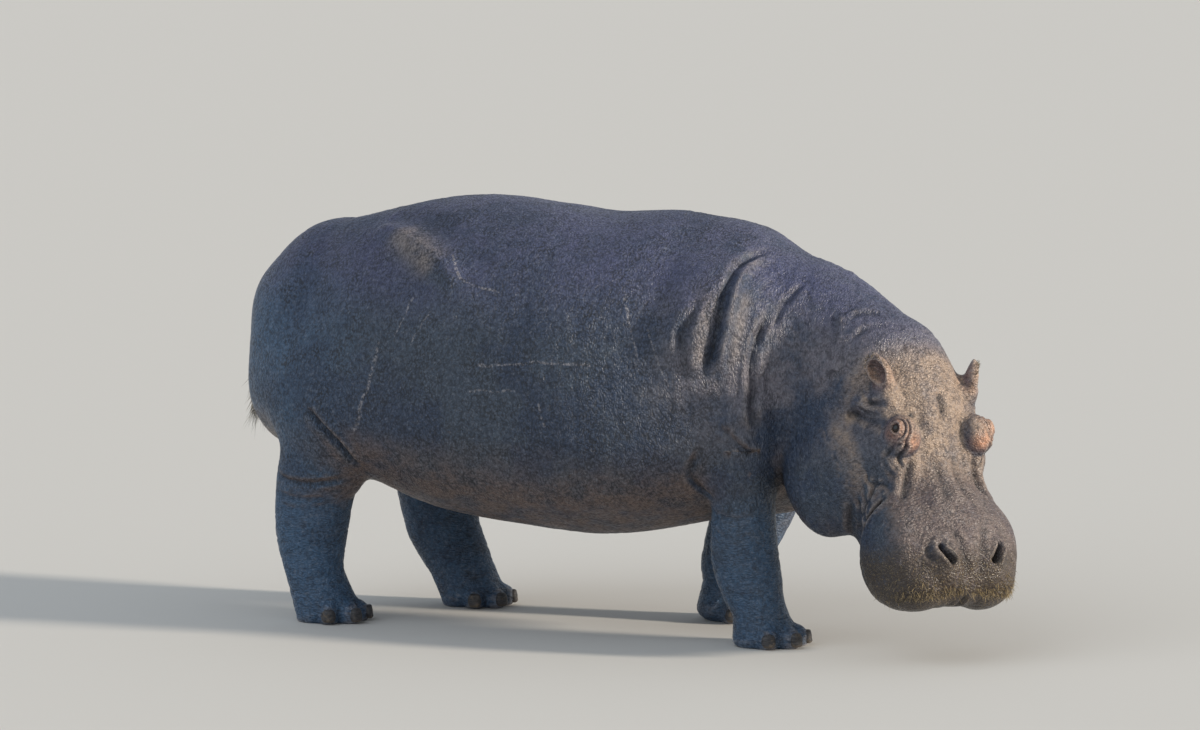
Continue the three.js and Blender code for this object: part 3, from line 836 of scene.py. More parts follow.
def wrinkled(points):
    """The hide's folds and wrinkles, in millimetres outwards: each part has its own grain."""
    q = to_head(points)
    head, neck, leg, trunk = shares(points)
    warp = np.column_stack([lumps(points, 160, 5), lumps(points, 160, 6), lumps(points, 160, 7)])
    p, w = points + 26 * warp, q + 14 * warp
    push = 2.6 * lumps(points, 210, 1) + 1.5 * lumps(points, 85, 2)
    push -= trunk * (2.0 * creased(p, [46, 150, 190], 11) + 0.9 * creased(p, [24, 40, 60], 13))
    push -= neck * (4.2 * creased(p, [44, 150, 210], 15) + 1.8 * creased(p, [20, 60, 84], 17))
    push -= leg * (2.6 * creased(p, [120, 120, 34], 19) + 1.1 * creased(p, [50, 50, 16], 21))
    push -= head * (1.3 * creased(w, [34, 60, 60], 23) + 0.6 * creased(w, [16, 24, 24], 25))
    bridge_only = head * fade(np.abs(q[:, 1]), 130, 80) * fade(q[:, 2], -90, -40)
    bridge_only = bridge_only * fade(q[:, 0], 250, 300) * fade(q[:, 0], 590, 520)
    push -= 1.2 * bridge_only * creased(w, [16, 90, 90], 27)
    return push


# The folds round an eye: radius, half width and depth. SLIT is half the lids' opening.
LID_RINGS = [(29, 2.6, 3.4), (40, 3.4, 4.4), (55, 5, 4.4), (76, 7, 3)]
SLIT, BEHIND_EYE = (20.5, 15.5), 16.5


def eye_frame(side):
    """The eye's centre, and its axes: along the slit of the lids, up it, and out of the eye."""
    flip = np.array([1, side, 1])
    out = np.array([-0.12, 0.83, 0.545]) * flip
    out /= np.linalg.norm(out)
    slit = np.array([1.0, 0, -0.1])
    slit = slit - out * (slit @ out)
    slit /= np.linalg.norm(slit)
    up = np.cross(out, slit) * side
    axes = np.column_stack([slit, up, out])
    return from_head(np.array(EYE) * flip), HEAD @ axes


def lidded(points, out):
    """Lids round each eye: an opening like an almond, a rim, and rings of folds outside it."""
    points = points.copy()
    for side in (-1, 1):
        centre, axes = eye_frame(side)
        near = np.linalg.norm(points - centre, axis=1) < 120
        q = (points[near] - centre) @ axes
        across = np.sqrt((q[:, 0] / 1.25) ** 2 + q[:, 1] ** 2)
        front = fade(q[:, 2], -34, -6)
        towards_nose = mix(0.3, 1.0, fade(-q[:, 1] / np.maximum(across, 1), -0.7, 0.5))
        rings = np.zeros(len(q))
        for radius, width, depth in LID_RINGS:
            radius = radius * (1 + 0.16 * lumps(points[near], 60, 33))
            groove = np.exp(-(((across - radius) / width) ** 2))
            rings -= depth * groove - 0.5 * depth * np.exp(-(((across - radius - 6) / 4) ** 2))
        uneven = towards_nose * (0.7 + 0.7 * lumps(points[near], 40, 31))
        level = (np.abs(q[:, 0]) / SLIT[0]) ** 1.7 + (np.abs(q[:, 1]) / SLIT[1]) ** 1.9
        rim = 2.2 * np.exp(-(((level - 1.4) / 0.3) ** 2))
        points[near] += out[near] * (front * (rings * uneven + rim))[:, None]
        # inside the slit the skin is drawn back behind the eyeball
        q = (points[near] - centre) @ axes
        inside = fade(level, 1.16, 0.9) * (q[:, 2] > 0)
        length = np.maximum(np.linalg.norm(q, axis=1), 1e-6)
        q *= mix(1, np.minimum(1, BEHIND_EYE / length), inside)[:, None]
        points[near] = centre + q @ axes.T
    return points


def lipped(points):
    """The closed mouth: a groove under the upper lip, which hangs a little over it."""
    q = to_head(points)
    near = (q[:, 0] > 370) & (q[:, 2] < -90) & (points[:, 0] > 900)
    flat = q[near] * [1, 0, 1]
    line = np.array([(u, 0, w) for u, w in LIPS], float)
    d, t, _, _ = along(flat, line)
    strength = fade(t, 1.0, 0.93) + 0.25
    groove = np.exp(-((d / 6.0) ** 2)) * np.clip(strength, 0, 1)
    u, w = np.transpose(LIPS[::3])
    over_lip = flat[:, 2] > np.interp(-flat[:, 0], -u, w)
    above = np.exp(-(((d - 17) / 10) ** 2)) * over_lip
    push, hollow = np.zeros(len(points)), np.zeros(len(points))
    push[near] = 4.0 * above - 15 * groove
    hollow[near] = groove
    return push, hollow


def worked(hide):
    """Folds, lids, lips and wrinkles, worked into the smooth hide from large to small."""
    points, out = corners(hide), normals(hide)
    push, _ = drawn(points, out, BODY_STROKES)
    put(hide, points + out * (push + swollen(points))[:, None])
    points, out = corners(hide), normals(hide)
    push, _ = drawn(points, out, HEAD_STROKES)
    lips, _ = lipped(points)
    put(hide, points + out * (push + lips)[:, None])
    points, out = corners(hide), normals(hide)
    push = wrinkled(points) * fade(points[:, 2], 4, 30)
    points = points + out * push[:, None]
    points = lidded(points, out)
    points[:, 2] = np.maximum(points[:, 2], 0)
    put(hide, points)


def thinned(hide):
    """Fewer triangles where the hide is smooth. Head and feet keep more than their share."""
    modifier(hide, "TRIANGULATE")
    for where, budget in (
        (lambda p: ~on_head(p) & ~on_foot(p), BODY_TRIANGLES),
        (on_head, HEAD_TRIANGLES),
        (on_foot, FOOT_TRIANGLES),
    ):
        count = picked_faces(hide, where)
        if count > budget:
            bpy.ops.mesh.decimate(ratio=budget / count)
        bpy.ops.mesh.select_all(action="DESELECT")
        bpy.ops.object.mode_set(mode="OBJECT")


def on_head(points):
    return (to_head(points)[:, 0] > -60) & (points[:, 0] > 900)


def on_foot(points):
    return points[:, 2] < 130


def ear_gaps(points):
    """How far points lie from the middle of each ear."""
    q = to_head(points)
    return [np.linalg.norm(q - ear_middle(side), axis=1) for side in EAR_HELD]


def near_ears(points):
    return np.minimum(*ear_gaps(points)) < 82


hide = rough_hide()
finer(hide, lambda p: on_head(p) | on_foot(p))
finer(hide, lambda p: near_head(p, EYE, 66) | near_head(p, NOSTRIL, 66))
finer(hide, lambda p: near_head(p, EYE, 42))
settle_finely(hide, lambda p: near_head(p, EYE, 80) | near_ears(p), 4)
settle(hide, 1)
BODY_STROKES, HEAD_STROKES = body_strokes(), head_strokes()
worked(hide)
thinned(hide)
bpy.ops.object.shade_smooth()


# ---- where each colour lies ---------------------------------------------------------------------
def relief(obj):
    """How hollow (above 0) or raised (below 0) the hide is at each vertex, in 1/mm."""
    points, out = corners(obj), normals(obj)
    a, b = edge_ends(obj)
    run = points[b] - points[a]
    length = (run * run).sum(1)
    joined = np.concatenate([a, b])
    other = np.concatenate([b, a])
    count = np.bincount(joined, minlength=len(points))
    bend = np.concatenate([(run * out[a]).sum(1), -(run * out[b]).sum(1)]) * 2 / np.tile(length, 2)
    bend = np.bincount(joined, bend, len(points)) / count
    for _ in range(2):
        bend = (bend + np.bincount(joined, bend[other], len(points)) / count) / 2
    return bend


def mark(obj, name, values):
    """Keeps one number for each vertex, which the materials read by this name."""
    made = obj.data.attributes.new(name, "FLOAT", "POINT")
    made.data.foreach_set("value", np.clip(values, 0, 1).astype(np.float32))


def mark_lie(hide, points, head, neck, leg):
    """A place for the skin's pattern, drawn out along the wrinkles of neck, legs and face."""
    drawn_out = np.select(
        [(head > 0.5)[:, None], (neck > 0.5)[:, None], (leg > 0.5)[:, None]],
        [to_head(points) * [1.35, 0.8, 1.1], points * [1.35, 1.0, 0.65], points * [0.7, 0.7, 1.4]],
        points,
    )
    made = hide.data.attributes.new("lie", "FLOAT_VECTOR", "POINT")
    made.data.foreach_set("vector", (drawn_out * MM).astype(np.float32).ravel())
    most = np.maximum(np.maximum(head, neck), leg)
    mark(hide, "lying", fade(most, 0.55, 0.9))


def blob(q, centre, size, power):
    """1 at a centre, and falling away past its size."""
    return np.exp(-(np.linalg.norm((q - np.array(centre)) / size, axis=1) ** power))


def marked(hide):
    """Keeps on the hide's vertices where folds, painted shade and highlights, mud and each colour
    lie.
    """
    points, out = corners(hide), normals(hide)
    q = to_head(points)
    q[:, 1] = np.abs(q[:, 1])
    u, w, z = q[:, 0], q[:, 2], points[:, 2]
    head, neck, leg, _ = shares(points)
    bend = relief(hide)
    _, folds = drawn(points, out, BODY_STROKES + HEAD_STROKES)
    _, mouth = lipped(points)
    eyelids = 0.55 * blob(q, EYE, 52, 4) + 0.8 * blob(q, (272, 140, 30), (30, 40, 36), 2)
    ears = sum(np.exp(-((gap / 62) ** 4)) for gap in ear_gaps(points))
    slits = blob(q, (672, 102, -52), (62, 44, 60), 4)
    sunlit_ridges = np.zeros(len(points))
    for line, width, strength in PAINTED_SUNLIT_RIDGES:
        d, t, _, _ = along(points, line)
        strength = strength * fade(t, 0, 0.2) * fade(1 - t, 0, 0.2)
        sunlit_ridges = np.maximum(sunlit_ridges, strength * np.exp(-((d / width) ** 2)))
    out_of_face, towards_lips = out @ HEAD[:, 2], out @ HEAD[:, 0]
    mark_lie(hide, points, head, neck, leg)
    for name, amount in {
        # painted shade in hollows and folds of the hide
        "crease_shade": np.maximum(fade(bend, 0.004, 0.05), 0.8 * folds),
        "ridge": fade(-bend, 0.006, 0.045),
        # painted shade deep in the nostrils and the parting of the lips
        "hole_shade": np.maximum(slits * fade(bend, 0.02, 0.09), mouth),
        # painted highlights along the hip bones and shoulder ridges
        "sunlit_ridges": sunlit_ridges,
        "leg": leg,
        # painted sky sheen on the upward faces of the back
        "back": fade(out[:, 2], 0.1, 0.75) * fade(z, 1000, 1250),
        "belly": fade(-out[:, 2], 0.15, 0.75) * (1 - head) * fade(z, 250, 420),
        # the face's browner tone, with painted sunlight on the planes facing out of the face
        "face": head * fade(out_of_face, 0.3, 0.85),
        "snout": head * fade(u, 260, 440) * fade(out_of_face + 0.5 * towards_lips, 0.1, 0.7),
        "mud": head * fade(u - 0.5 * w, 610, 730),
        "rose": np.maximum(eyelids, ears * 0.3),
    }.items():
        mark(hide, name, amount)


marked(hide)


# ---- materials ----------------------------------------------------------------------------------
def paint(red, green, blue):
    """A colour as painters' charts write it, 0 to 255, for a colour socket."""
    levels = [c / 255 for c in (red, green, blue)]
    return (*[c / 12.92 if c < 0.04 else ((c + 0.055) / 1.055) ** 2.4 for c in levels], 1)


def node(tree, kind, inputs=None, **settings):
    """Adds a node. Inputs are values, or sockets to link."""
    made = tree.nodes.new("ShaderNode" + kind)
    for name, value in settings.items():
        setattr(made, name, value)
    for name, value in (inputs or {}).items():
        if isinstance(value, bpy.types.NodeSocket):
            tree.links.new(value, made.inputs[name])
        else:
            made.inputs[name].default_value = value
    return made


def material(name, plain):
    """A new material: itself, its node tree and its surface, whose plain sockets are set."""
    made = bpy.data.materials.new(name)
    made.use_nodes = True
    surface = made.node_tree.nodes["Principled BSDF"]
    for socket, value in plain.items():
        surface.inputs[socket].default_value = value
    return made, made.node_tree, surface.inputs


def own_place(tree):
    """A point's place on the piece, in metres."""
    return node(tree, "TexCoord").outputs["Object"]


def calc(tree, operation, *values, clamp=False):
    """Arithmetic on numbers and number sockets."""
    made = node(tree, "Math", dict(enumerate(values)), operation=operation, use_clamp=clamp)
    return made.outputs[0]


def vector(tree, operation, *values, out=0):
    """The same on vectors; out is 1 where the answer is a number."""
    return node(tree, "VectorMath", dict(enumerate(values)), operation=operation).outputs[out]


def remap(tree, value, low, high, new_low=0.0, new_high=1.0):
    """Turns low to high into new_low to new_high, smoothly and with both ends held."""
    ends = {"From Min": low, "From Max": high, "To Min": new_low, "To Max": new_high}
    ends["Value"] = value
    return node(tree, "MapRange", ends, interpolation_type="SMOOTHSTEP").outputs[0]


def over(tree, under, colour, amount, blend="MIX"):
    """A colour laid over another by an amount."""
    made = node(tree, "Mix", {0: amount, 6: under, 7: colour}, data_type="RGBA", blend_type=blend)
    return made.outputs[2]


def kept(tree, name):
    """A number kept on the piece's vertices."""
    return node(tree, "Attribute", attribute_name=name).outputs["Fac"]


def group(name, inputs, outputs):
    """An empty node group with its sockets; inputs give a kind and a value."""
    tree = bpy.data.node_groups.new(name, "ShaderNodeTree")
    for label, (kind, value) in inputs.items():
        made = tree.interface.new_socket(label, in_out="INPUT", socket_type="NodeSocket" + kind)
        if value is not None:
            made.default_value = value
    for label, kind in outputs.items():
        tree.interface.new_socket(label, in_out="OUTPUT", socket_type="NodeSocket" + kind)
    return tree, tree.nodes.new("NodeGroupInput").outputs, tree.nodes.new("NodeGroupOutput").inputs


def use(tree, grouped, inputs):
    """A node group placed in a tree: its outputs."""
    return node(tree, "Group", inputs, node_tree=grouped).outputs


def noise(tree, place, scale, detail=3.0, rough=0.55, out=0):
    """Noise as a number, or as a colour where out is 1."""
    inputs = {"Vector": place, "Scale": scale, "Detail": detail, "Roughness": rough}
    return node(tree, "TexNoise", inputs).outputs[out]


def bumped(tree, height, distance, strength):
    """The normal that a height over the surface gives; distance is in metres."""
    inputs = {"Height": height, "Distance": distance, "Strength": strength}
    return node(tree, "Bump", inputs).outputs[0]


def crackle_group():
    """The small pads of thick skin with cracks between them, in two sizes."""
    tree, given, wanted = group(
        "crackle",
        {"Vector": ("Vector", None), "Pads": ("Float", 60.0), "Fine pads": ("Float", 150.0)},
        {"Height": "Float", "Crack": "Float"},
    )
    drift = noise(tree, given["Vector"], 22.0, 1.0, out=1)
    place = vector(tree, "MULTIPLY_ADD", drift, (0.022, 0.022, 0.022), given["Vector"])
    pads, small = (
        node(tree, "TexVoronoi", {"Vector": place, "Scale": given[size]}).outputs["Distance"]
        for size in ("Pads", "Fine pads")
    )
    depth = calc(tree, "MULTIPLY_ADD", small, 0.42, pads)
    tree.links.new(calc(tree, "SUBTRACT", 1.0, depth), wanted["Height"])
    tree.links.new(remap(tree, depth, 0.55, 0.98), wanted["Crack"])
    return tree


def mottle_group():
    """Cloudy light and dark, from hand-sized patches down to freckles."""
    tree, given, wanted = group(
        "mottle", {"Vector": ("Vector", None), "Size": ("Float", 3.2)}, {"Value": "Float"}
    )
    cloud = noise(tree, given["Vector"], given["Size"], 5.0, 0.68)
    tree.links.new(cloud, wanted[0])
    return tree


def scar_group():
    """A thin line between two points of the side view, soft at its edges and round at its ends;
    unsteady where the place given drifts.
    """
    tree, given, wanted = group(
        "scar",
        {
            "Place": ("Vector", None),
            "From": ("Vector", (0, 0, 0)),
            "To": ("Vector", (0, 0, 1)),
            "Width": ("Float", 0.006),
        },
        {"Value": "Float"},
    )
    line = vector(tree, "SUBTRACT", given["To"], given["From"])
    reached = vector(tree, "SUBTRACT", given["Place"], given["From"])
    run = vector(tree, "DOT_PRODUCT", reached, line, out=1)
    share = calc(tree, "DIVIDE", run, vector(tree, "DOT_PRODUCT", line, line, out=1), clamp=True)
    nearest = node(tree, "VectorMath", {0: line, "Scale": share}, operation="SCALE").outputs[0]
    gap = vector(tree, "LENGTH", vector(tree, "SUBTRACT", reached, nearest), out=1)
    body = remap(tree, calc(tree, "DIVIDE", gap, given["Width"]), 1.0, 0.35)
    tree.links.new(body, wanted[0])
    return tree


CRACKLE, MOTTLE, SCAR = crackle_group(), mottle_group(), scar_group()

# The second colour is partly painted blue shade under the sky, the third partly a painted sky
# sheen.
SLATE, BLUE_AND_SKYLIT_SHADE, PLUM_AND_SKY_SHEEN = paint(62, 74, 90), paint(62, 92, 122), paint(76, 80, 110)
# The third colour is partly painted sunlight, for the front of the face.
TAUPE, INK, UMBER_AND_SUNLIGHT = paint(110, 104, 112), paint(46, 60, 84), paint(158, 138, 122)
SNOUT, BELLY, ROSE = paint(84, 74, 77), paint(116, 98, 90), paint(196, 138, 106)
# The third colour is painted shade for creases and cracks, the fourth painted shade for holes.
MUD, STRAW, PAINTED_SHADE, PAINTED_HOLE_SHADE = paint(60, 50, 42), paint(156, 136, 98), paint(30, 32, 38), paint(22, 17, 15)
# The second colour is a painted highlight for ridges the sun would catch; the third only makes
# raised ridges paler.
CHALK, RIDGE_SUNLIGHT, RIDGE_PALE = paint(150, 146, 150), paint(176, 158, 142), paint(176, 162, 152)
HAZE, ASH, SHADE = paint(150, 156, 168), paint(140, 140, 146), paint(184, 184, 188)

# Old scratches on the right side: x and z of both ends in metres of the frame, and width.
SCARS = [
    (-0.535, 1.338, -0.486, 1.273, 0.006), (-0.486, 1.273, -0.415, 1.233, 0.006),
    (-0.415, 1.233, -0.331, 1.229, 0.006), (-0.764, 1.025, -0.803, 0.866, 0.011),
    (-0.803, 0.866, -0.867, 0.713, 0.01), (-0.368, 0.974, -0.16, 0.99, 0.007),
    (-0.16, 0.99, 0.033, 0.987, 0.007), (-0.403, 0.882, -0.234, 0.889, 0.005),
    (-0.14, 0.844, -0.122, 0.775, 0.007), (0.122, 1.224, 0.162, 1.12, 0.006),
    (0.162, 1.12, 0.198, 1.007, 0.006), (0.222, 1.109, 0.321, 0.907, 0.005),
    (-0.655, 1.19, -0.7, 1.06, 0.005), (-0.58, 1.15, -0.64, 1.03, 0.004),
]


def scratches(tree, place, across):
    """How much of a scratch lies at a place: thin pale lines on the right side only."""
    drift = noise(tree, place, 12.0, 1.0, out=1)
    flat = vector(tree, "MULTIPLY", place, (1, 0, 1))
    flat = vector(tree, "MULTIPLY_ADD", drift, (0.03, 0, 0.03), flat)
    centred = 0.015  # half of what the drift adds
    scars = 0.0
    for x0, z0, x1, z1, width in SCARS:
        ends = {"From": (x0 + centred, 0, z0 + centred), "To": (x1 + centred, 0, z1 + centred)}
        scar = use(tree, SCAR, {"Place": flat, **ends, "Width": width})[0]
        scars = calc(tree, "MAXIMUM", scar, scars)
    return calc(tree, "MULTIPLY", scars, remap(tree, across, -0.05, -0.2))


def pads_of_skin(tree, place):
    """Even pads on the trunk, which follow the lie of the skin on neck, legs and face."""
    even = node(tree, "Mapping", {"Vector": place, "Scale": (1.25, 1.0, 0.85)}).outputs[0]
    even = use(tree, CRACKLE, {"Vector": even, "Pads": 112.0, "Fine pads": 270.0})
    lie = node(tree, "Attribute", attribute_name="lie").outputs["Vector"]
    lying = use(tree, CRACKLE, {"Vector": lie, "Pads": 116.0, "Fine pads": 280.0})
    held = kept(tree, "lying")
    return [
        node(tree, "Mix", {0: held, 2: even[name], 3: lying[name]}).outputs[0]
        for name in ("Height", "Crack")
    ]


def hide_material():
    """Cracked slate-grey hide, bluer behind with painted skylit shade, browner on the face with
    painted sunlight on its front, a painted sky sheen on the back, painted highlights on hip and
    shoulders, painted shade in creases, cracks and holes, dusty and muddy.
    """
    made, tree, surface = material("hide", {"IOR": 1.45})
    place = own_place(tree)
    x, y, z = node(tree, "SeparateXYZ", {0: place}).outputs
    clouds = use(tree, MOTTLE, {"Vector": place})[0]
    patches = use(tree, MOTTLE, {"Vector": place, "Size": 11.0})[0]
    height, crack = pads_of_skin(tree, place)

    def lay(under, tint, *amounts):
        amount = amounts[0]
        for other in amounts[1:]:
            amount = calc(tree, "MULTIPLY", amount, other)
        return over(tree, under, tint, amount)

    def masked(name):
        return kept(tree, name)

    def cloudy(*ends):
        return remap(tree, clouds, *ends)

    def patchy(*ends):
        return remap(tree, patches, *ends)

    # the hide's own colours, some partly painted light: blue shade under the sky behind and on the
    # legs, a sky sheen on the back, sunlight on the face's front
    forward = remap(tree, x, 0.05, 0.45, 0.0, 0.8)
    colour = lay(SLATE, INK, cloudy(0.56, 0.42, 0.0, 0.8))
    # painted blue shade under the sky behind, partly the hide's own blue-grey
    colour = lay(colour, BLUE_AND_SKYLIT_SHADE, remap(tree, x, -0.7, -1.25), cloudy(0.35, 0.6, 0.3, 0.9))
    colour = lay(colour, TAUPE, remap(tree, z, 0.55, 0.95), forward, cloudy(0.38, 0.58))
    # painted blue shade under the sky on the legs, partly the hide's own blue-grey
    colour = lay(colour, BLUE_AND_SKYLIT_SHADE, masked("leg"), patchy(0.3, 0.6, 0.25, 0.75))
    # painted sky sheen on the back, partly the hide's own plum
    colour = lay(colour, PLUM_AND_SKY_SHEEN, masked("back"), cloudy(0.35, 0.58, 0.35, 1.0))
    colour = lay(colour, BELLY, masked("belly"), patchy(0.3, 0.6, 0.35, 0.95))
    # painted sunlight on the front of the face, with its browner tone
    colour = lay(colour, UMBER_AND_SUNLIGHT, masked("face"), patchy(0.3, 0.58, 0.45, 1.0))
    colour = lay(colour, SNOUT, masked("snout"), patchy(0.35, 0.6, 0.5, 0.95))
    colour = lay(colour, ROSE, masked("rose"), patchy(0.3, 0.6, 0.6, 1.0))

    # scratches and painted highlights where the sun would catch the ridges, then paler raised
    # ridges and grain
    specks = noise(tree, place, 90.0, 3.0, 0.7)
    grain = noise(tree, place, 62.0, 3.0, 0.65)
    scars = scratches(tree, place, y)
    colour = lay(colour, CHALK, scars, remap(tree, specks, 0.42, 0.62, 0.0, 0.75))
    # painted highlights on the hip and shoulder ridges
    colour = lay(colour, RIDGE_SUNLIGHT, masked("sunlit_ridges"), patchy(0.3, 0.55, 0.35, 0.85))
    # paler where the hide is raised into ridges
    colour = lay(colour, RIDGE_PALE, masked("ridge"), 0.42)
    colour = lay(colour, HAZE, remap(tree, specks, 0.52, 0.72), 0.22)
    colour = over(tree, colour, SHADE, remap(tree, grain, 0.5, 0.38, 0.0, 0.75), "MULTIPLY")
    colour = lay(colour, ASH, remap(tree, grain, 0.55, 0.68), 0.16)

    # mud with bits of straw on the muzzle, and painted shade in creases, cracks and holes
    muddy = noise(tree, place, 26.0, 4.0, 0.7)
    mud = calc(tree, "MULTIPLY", masked("mud"), remap(tree, muddy, 0.3, 0.46))
    flecks = remap(tree, noise(tree, place, 210.0, 2.0, 0.6), 0.58, 0.66)
    colour = lay(colour, MUD, mud, 0.85)
    colour = lay(colour, STRAW, masked("mud"), flecks, 0.55)
    # painted shade in creases
    colour = lay(colour, PAINTED_SHADE, masked("crease_shade"), 0.8)
    fainter = remap(tree, masked("lying"), 0.0, 1.0, 1.0, 0.62)
    # painted shade in the cracks between pads, fainter where the pattern follows the skin's lie
    colour = lay(colour, PAINTED_SHADE, crack, patchy(0.3, 0.62, 0.85, 0.4), fainter)
    # painted shade in the nostrils and the mouth's parting
    colour = lay(colour, PAINTED_HOLE_SHADE, masked("hole_shade"))
    tree.links.new(colour, surface["Base Color"])

    rough = calc(tree, "MULTIPLY_ADD", crack, 0.2, cloudy(0.35, 0.62, 0.46, 0.28))
    rough = calc(tree, "MULTIPLY_ADD", mud, -0.1, rough, clamp=True)
    tree.links.new(rough, surface["Roughness"])
    folds = noise(tree, place, 24.0, 3.0, 0.6)
    height = calc(tree, "MULTIPLY_ADD", folds, 2.2, height)
    tree.links.new(bumped(tree, height, 0.0036, 1.0), surface["Normal"])
    return made


hide.data.materials.append(hide_material())
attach(hide, "root")
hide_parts(*FLESH)


# ---- eyes ---------------------------------------------------------------------------------------
def fresh(name, points, faces):
    """A new piece from points in the animal's own millimetres."""
    mesh = bpy.data.meshes.new(name)
    mesh.from_pydata(((np.asarray(points) + MIDDLE) * MM).tolist(), [], faces)
    piece = bpy.data.objects.new(name, mesh)
    bpy.context.scene.collection.objects.link(piece)
    alone(piece)
    bpy.ops.object.shade_smooth()
    return piece


def eye_material():
    """A dark wet eye: black pupil, dark brown iris with rays, darker rim and veined brown white."""
    made, tree, surface = material(
        "eye",
        {
            "Roughness": 0.2, "Specular IOR Level": 0.3,
            "Coat Weight": 0.25, "Coat Roughness": 0.03,
        },
    )
    place, ring = own_place(tree), kept(tree, "from pupil")
    rays = noise(tree, place, 900.0, 3.0, 0.8)
    veins = noise(tree, place, 380.0, 4.0, 0.7)
    pupil, rim = paint(5, 4, 4), paint(16, 10, 8)
    iris = over(tree, paint(24, 14, 10), paint(50, 31, 19), remap(tree, rays, 0.35, 0.7))
    veined = remap(tree, veins, 0.5, 0.66, 0.0, 0.8)
    white = over(tree, paint(36, 25, 21), paint(52, 26, 22), veined)
    colour = over(tree, pupil, iris, remap(tree, ring, 0.18, 0.21))
    colour = over(tree, colour, rim, remap(tree, ring, 0.34, 0.4))
    colour = over(tree, colour, white, remap(tree, ring, 0.46, 0.56))
    tree.links.new(colour, surface["Base Color"])
    return made


def eyeball(side, name, wet):
    """A ball with the cornea's low dome, set behind the lids and looking a little forwards."""
    centre, axes = eye_frame(side)
    bpy.ops.object.select_all(action="DESELECT")
    bpy.ops.mesh.primitive_uv_sphere_add(segments=64, ring_count=40, radius=1)
    ball = bpy.context.object
    ball.name = ball.data.name = name
    bpy.ops.object.mode_set(mode="EDIT")
    bpy.ops.mesh.select_all(action="SELECT")
    bpy.ops.transform.resize(value=(1.0, 1.0, 0.97))
    bpy.ops.object.mode_set(mode="OBJECT")
    q = rows_of(ball.data.vertices, "co")
    angle = np.arccos(np.clip(q[:, 2] / np.linalg.norm(q, axis=1), -1, 1)) / math.pi
    dome = 1.7 * fade(angle, 0.22, 0.12)
    put(ball, centre + (q * (EYE_RADIUS + dome)[:, None]) @ axes.T)
    mark(ball, "from pupil", angle * 2)
    alone(ball)
    bpy.ops.object.shade_smooth()
    ball.data.materials.append(wet)
    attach(ball, "root")
    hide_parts(name.replace("eyeball", "eye"))


wet_eye = eye_material()
eyeball(1, "eyeball_left", wet_eye)
eyeball(-1, "eyeball_right", wet_eye)


# ---- nails --------------------------------------------------------------------------------------
def nail_material():
    """Dull dark horn with growth lines, dusty at the tip."""
    made, tree, surface = material("nail", {})
    place = own_place(tree)
    cloud = use(tree, MOTTLE, {"Vector": place, "Size": 60.0})[0]
    stretched = node(tree, "Mapping", {"Vector": place, "Scale": (0.35, 0.35, 2.4)}).outputs[0]
    lines = noise(tree, stretched, 150.0, 3.0, 0.6)
    low = remap(tree, node(tree, "SeparateXYZ", {0: place}).outputs["Z"], 0.022, 0.004)
    colour = over(tree, paint(66, 64, 66), paint(34, 34, 38), remap(tree, lines, 0.4, 0.6))
    colour = over(tree, colour, paint(112, 100, 86), remap(tree, cloud, 0.5, 0.68, 0.0, 0.7))
    colour = over(tree, colour, paint(120, 106, 88), calc(tree, "MULTIPLY", low, 0.7))
    tree.links.new(colour, surface["Base Color"])
    tree.links.new(remap(tree, cloud, 0.3, 0.7, 0.45, 0.75), surface["Roughness"])
    height = calc(tree, "MULTIPLY_ADD", cloud, 0.6, lines)
    tree.links.new(bumped(tree, height, 0.0012, 0.9), surface["Normal"])
    return made


def nail_shape():
    """One blunt hoof-like nail at the origin, facing +x: its points and faces, in millimetres."""
    bpy.ops.object.select_all(action="DESELECT")
    bpy.ops.mesh.primitive_cube_add(size=2)
    block = bpy.context.object
    bpy.ops.object.mode_set(mode="EDIT")
    bpy.ops.mesh.select_all(action="SELECT")
    bpy.ops.mesh.subdivide(number_cuts=7)
    bpy.ops.object.mode_set(mode="OBJECT")
    q = rows_of(block.data.vertices, "co")
    squareness = 3.2  # 2 is a ball, and more is boxier
    q /= ((np.abs(q) ** squareness).sum(1) ** (1 / squareness))[:, None]
    a, b, c = q.T
    x = 15 * a - 5 * b * b + 4 * fade(-c, -0.4, 1) + 0.7 * np.sin(8 * c) * (a > 0)
    y = 25 * b * (1 - 0.16 * fade(c, 0, 1) - 0.12 * fade(-c, 0.2, 1))
    z = 26 * c + 3 * (1 - b * b) * (c < 0) * -c
    faces = [tuple(face.vertices) for face in block.data.polygons]
    bpy.data.objects.remove(block)
    return np.column_stack([x, y, z]), faces


horn, (nail_points, nail_faces) = nail_material(), nail_shape()
FEET = "forefoot_right", "forefoot_left", "hindfoot_right", "hindfoot_left"
for end, foot in zip(FEET, LEGS):
    for number, (angle, length, size) in enumerate(TOES, 1):
        grown = nail_points * rng.uniform(0.94, 1.05, 3)
        turn = np.array(Matrix.Rotation(math.radians(angle + rng.uniform(-5, 5)), 3, "Z"))
        place = np.array([*toe_at(foot[-1], angle, length + size - 6), 31])
        points = grown @ turn.T + place
        points[:, 2] = np.maximum(points[:, 2], 1.5)
        nail = fresh(f"horn_{end}_{number}", points, nail_faces)
        nail.data.materials.append(horn)
        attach(nail, "root")
        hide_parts(f"nail_{end}_{number}")


# ---- bristles -----------------------------------------------------------------------------------
def bristle_material():
    """Dark hairs among straw-coloured ones, which are paler at the tip."""
    made, tree, surface = material("bristle", {"Roughness": 0.5})
    tint, tip = kept(tree, "tint"), kept(tree, "tip")
    colour = over(tree, paint(40, 32, 28), STRAW, tint)
    bleached = calc(tree, "MULTIPLY", tip, calc(tree, "MULTIPLY", tint, 0.5))
    colour = over(tree, colour, paint(196, 178, 140), bleached)
    tree.links.new(colour, surface["Base Color"])
    return made


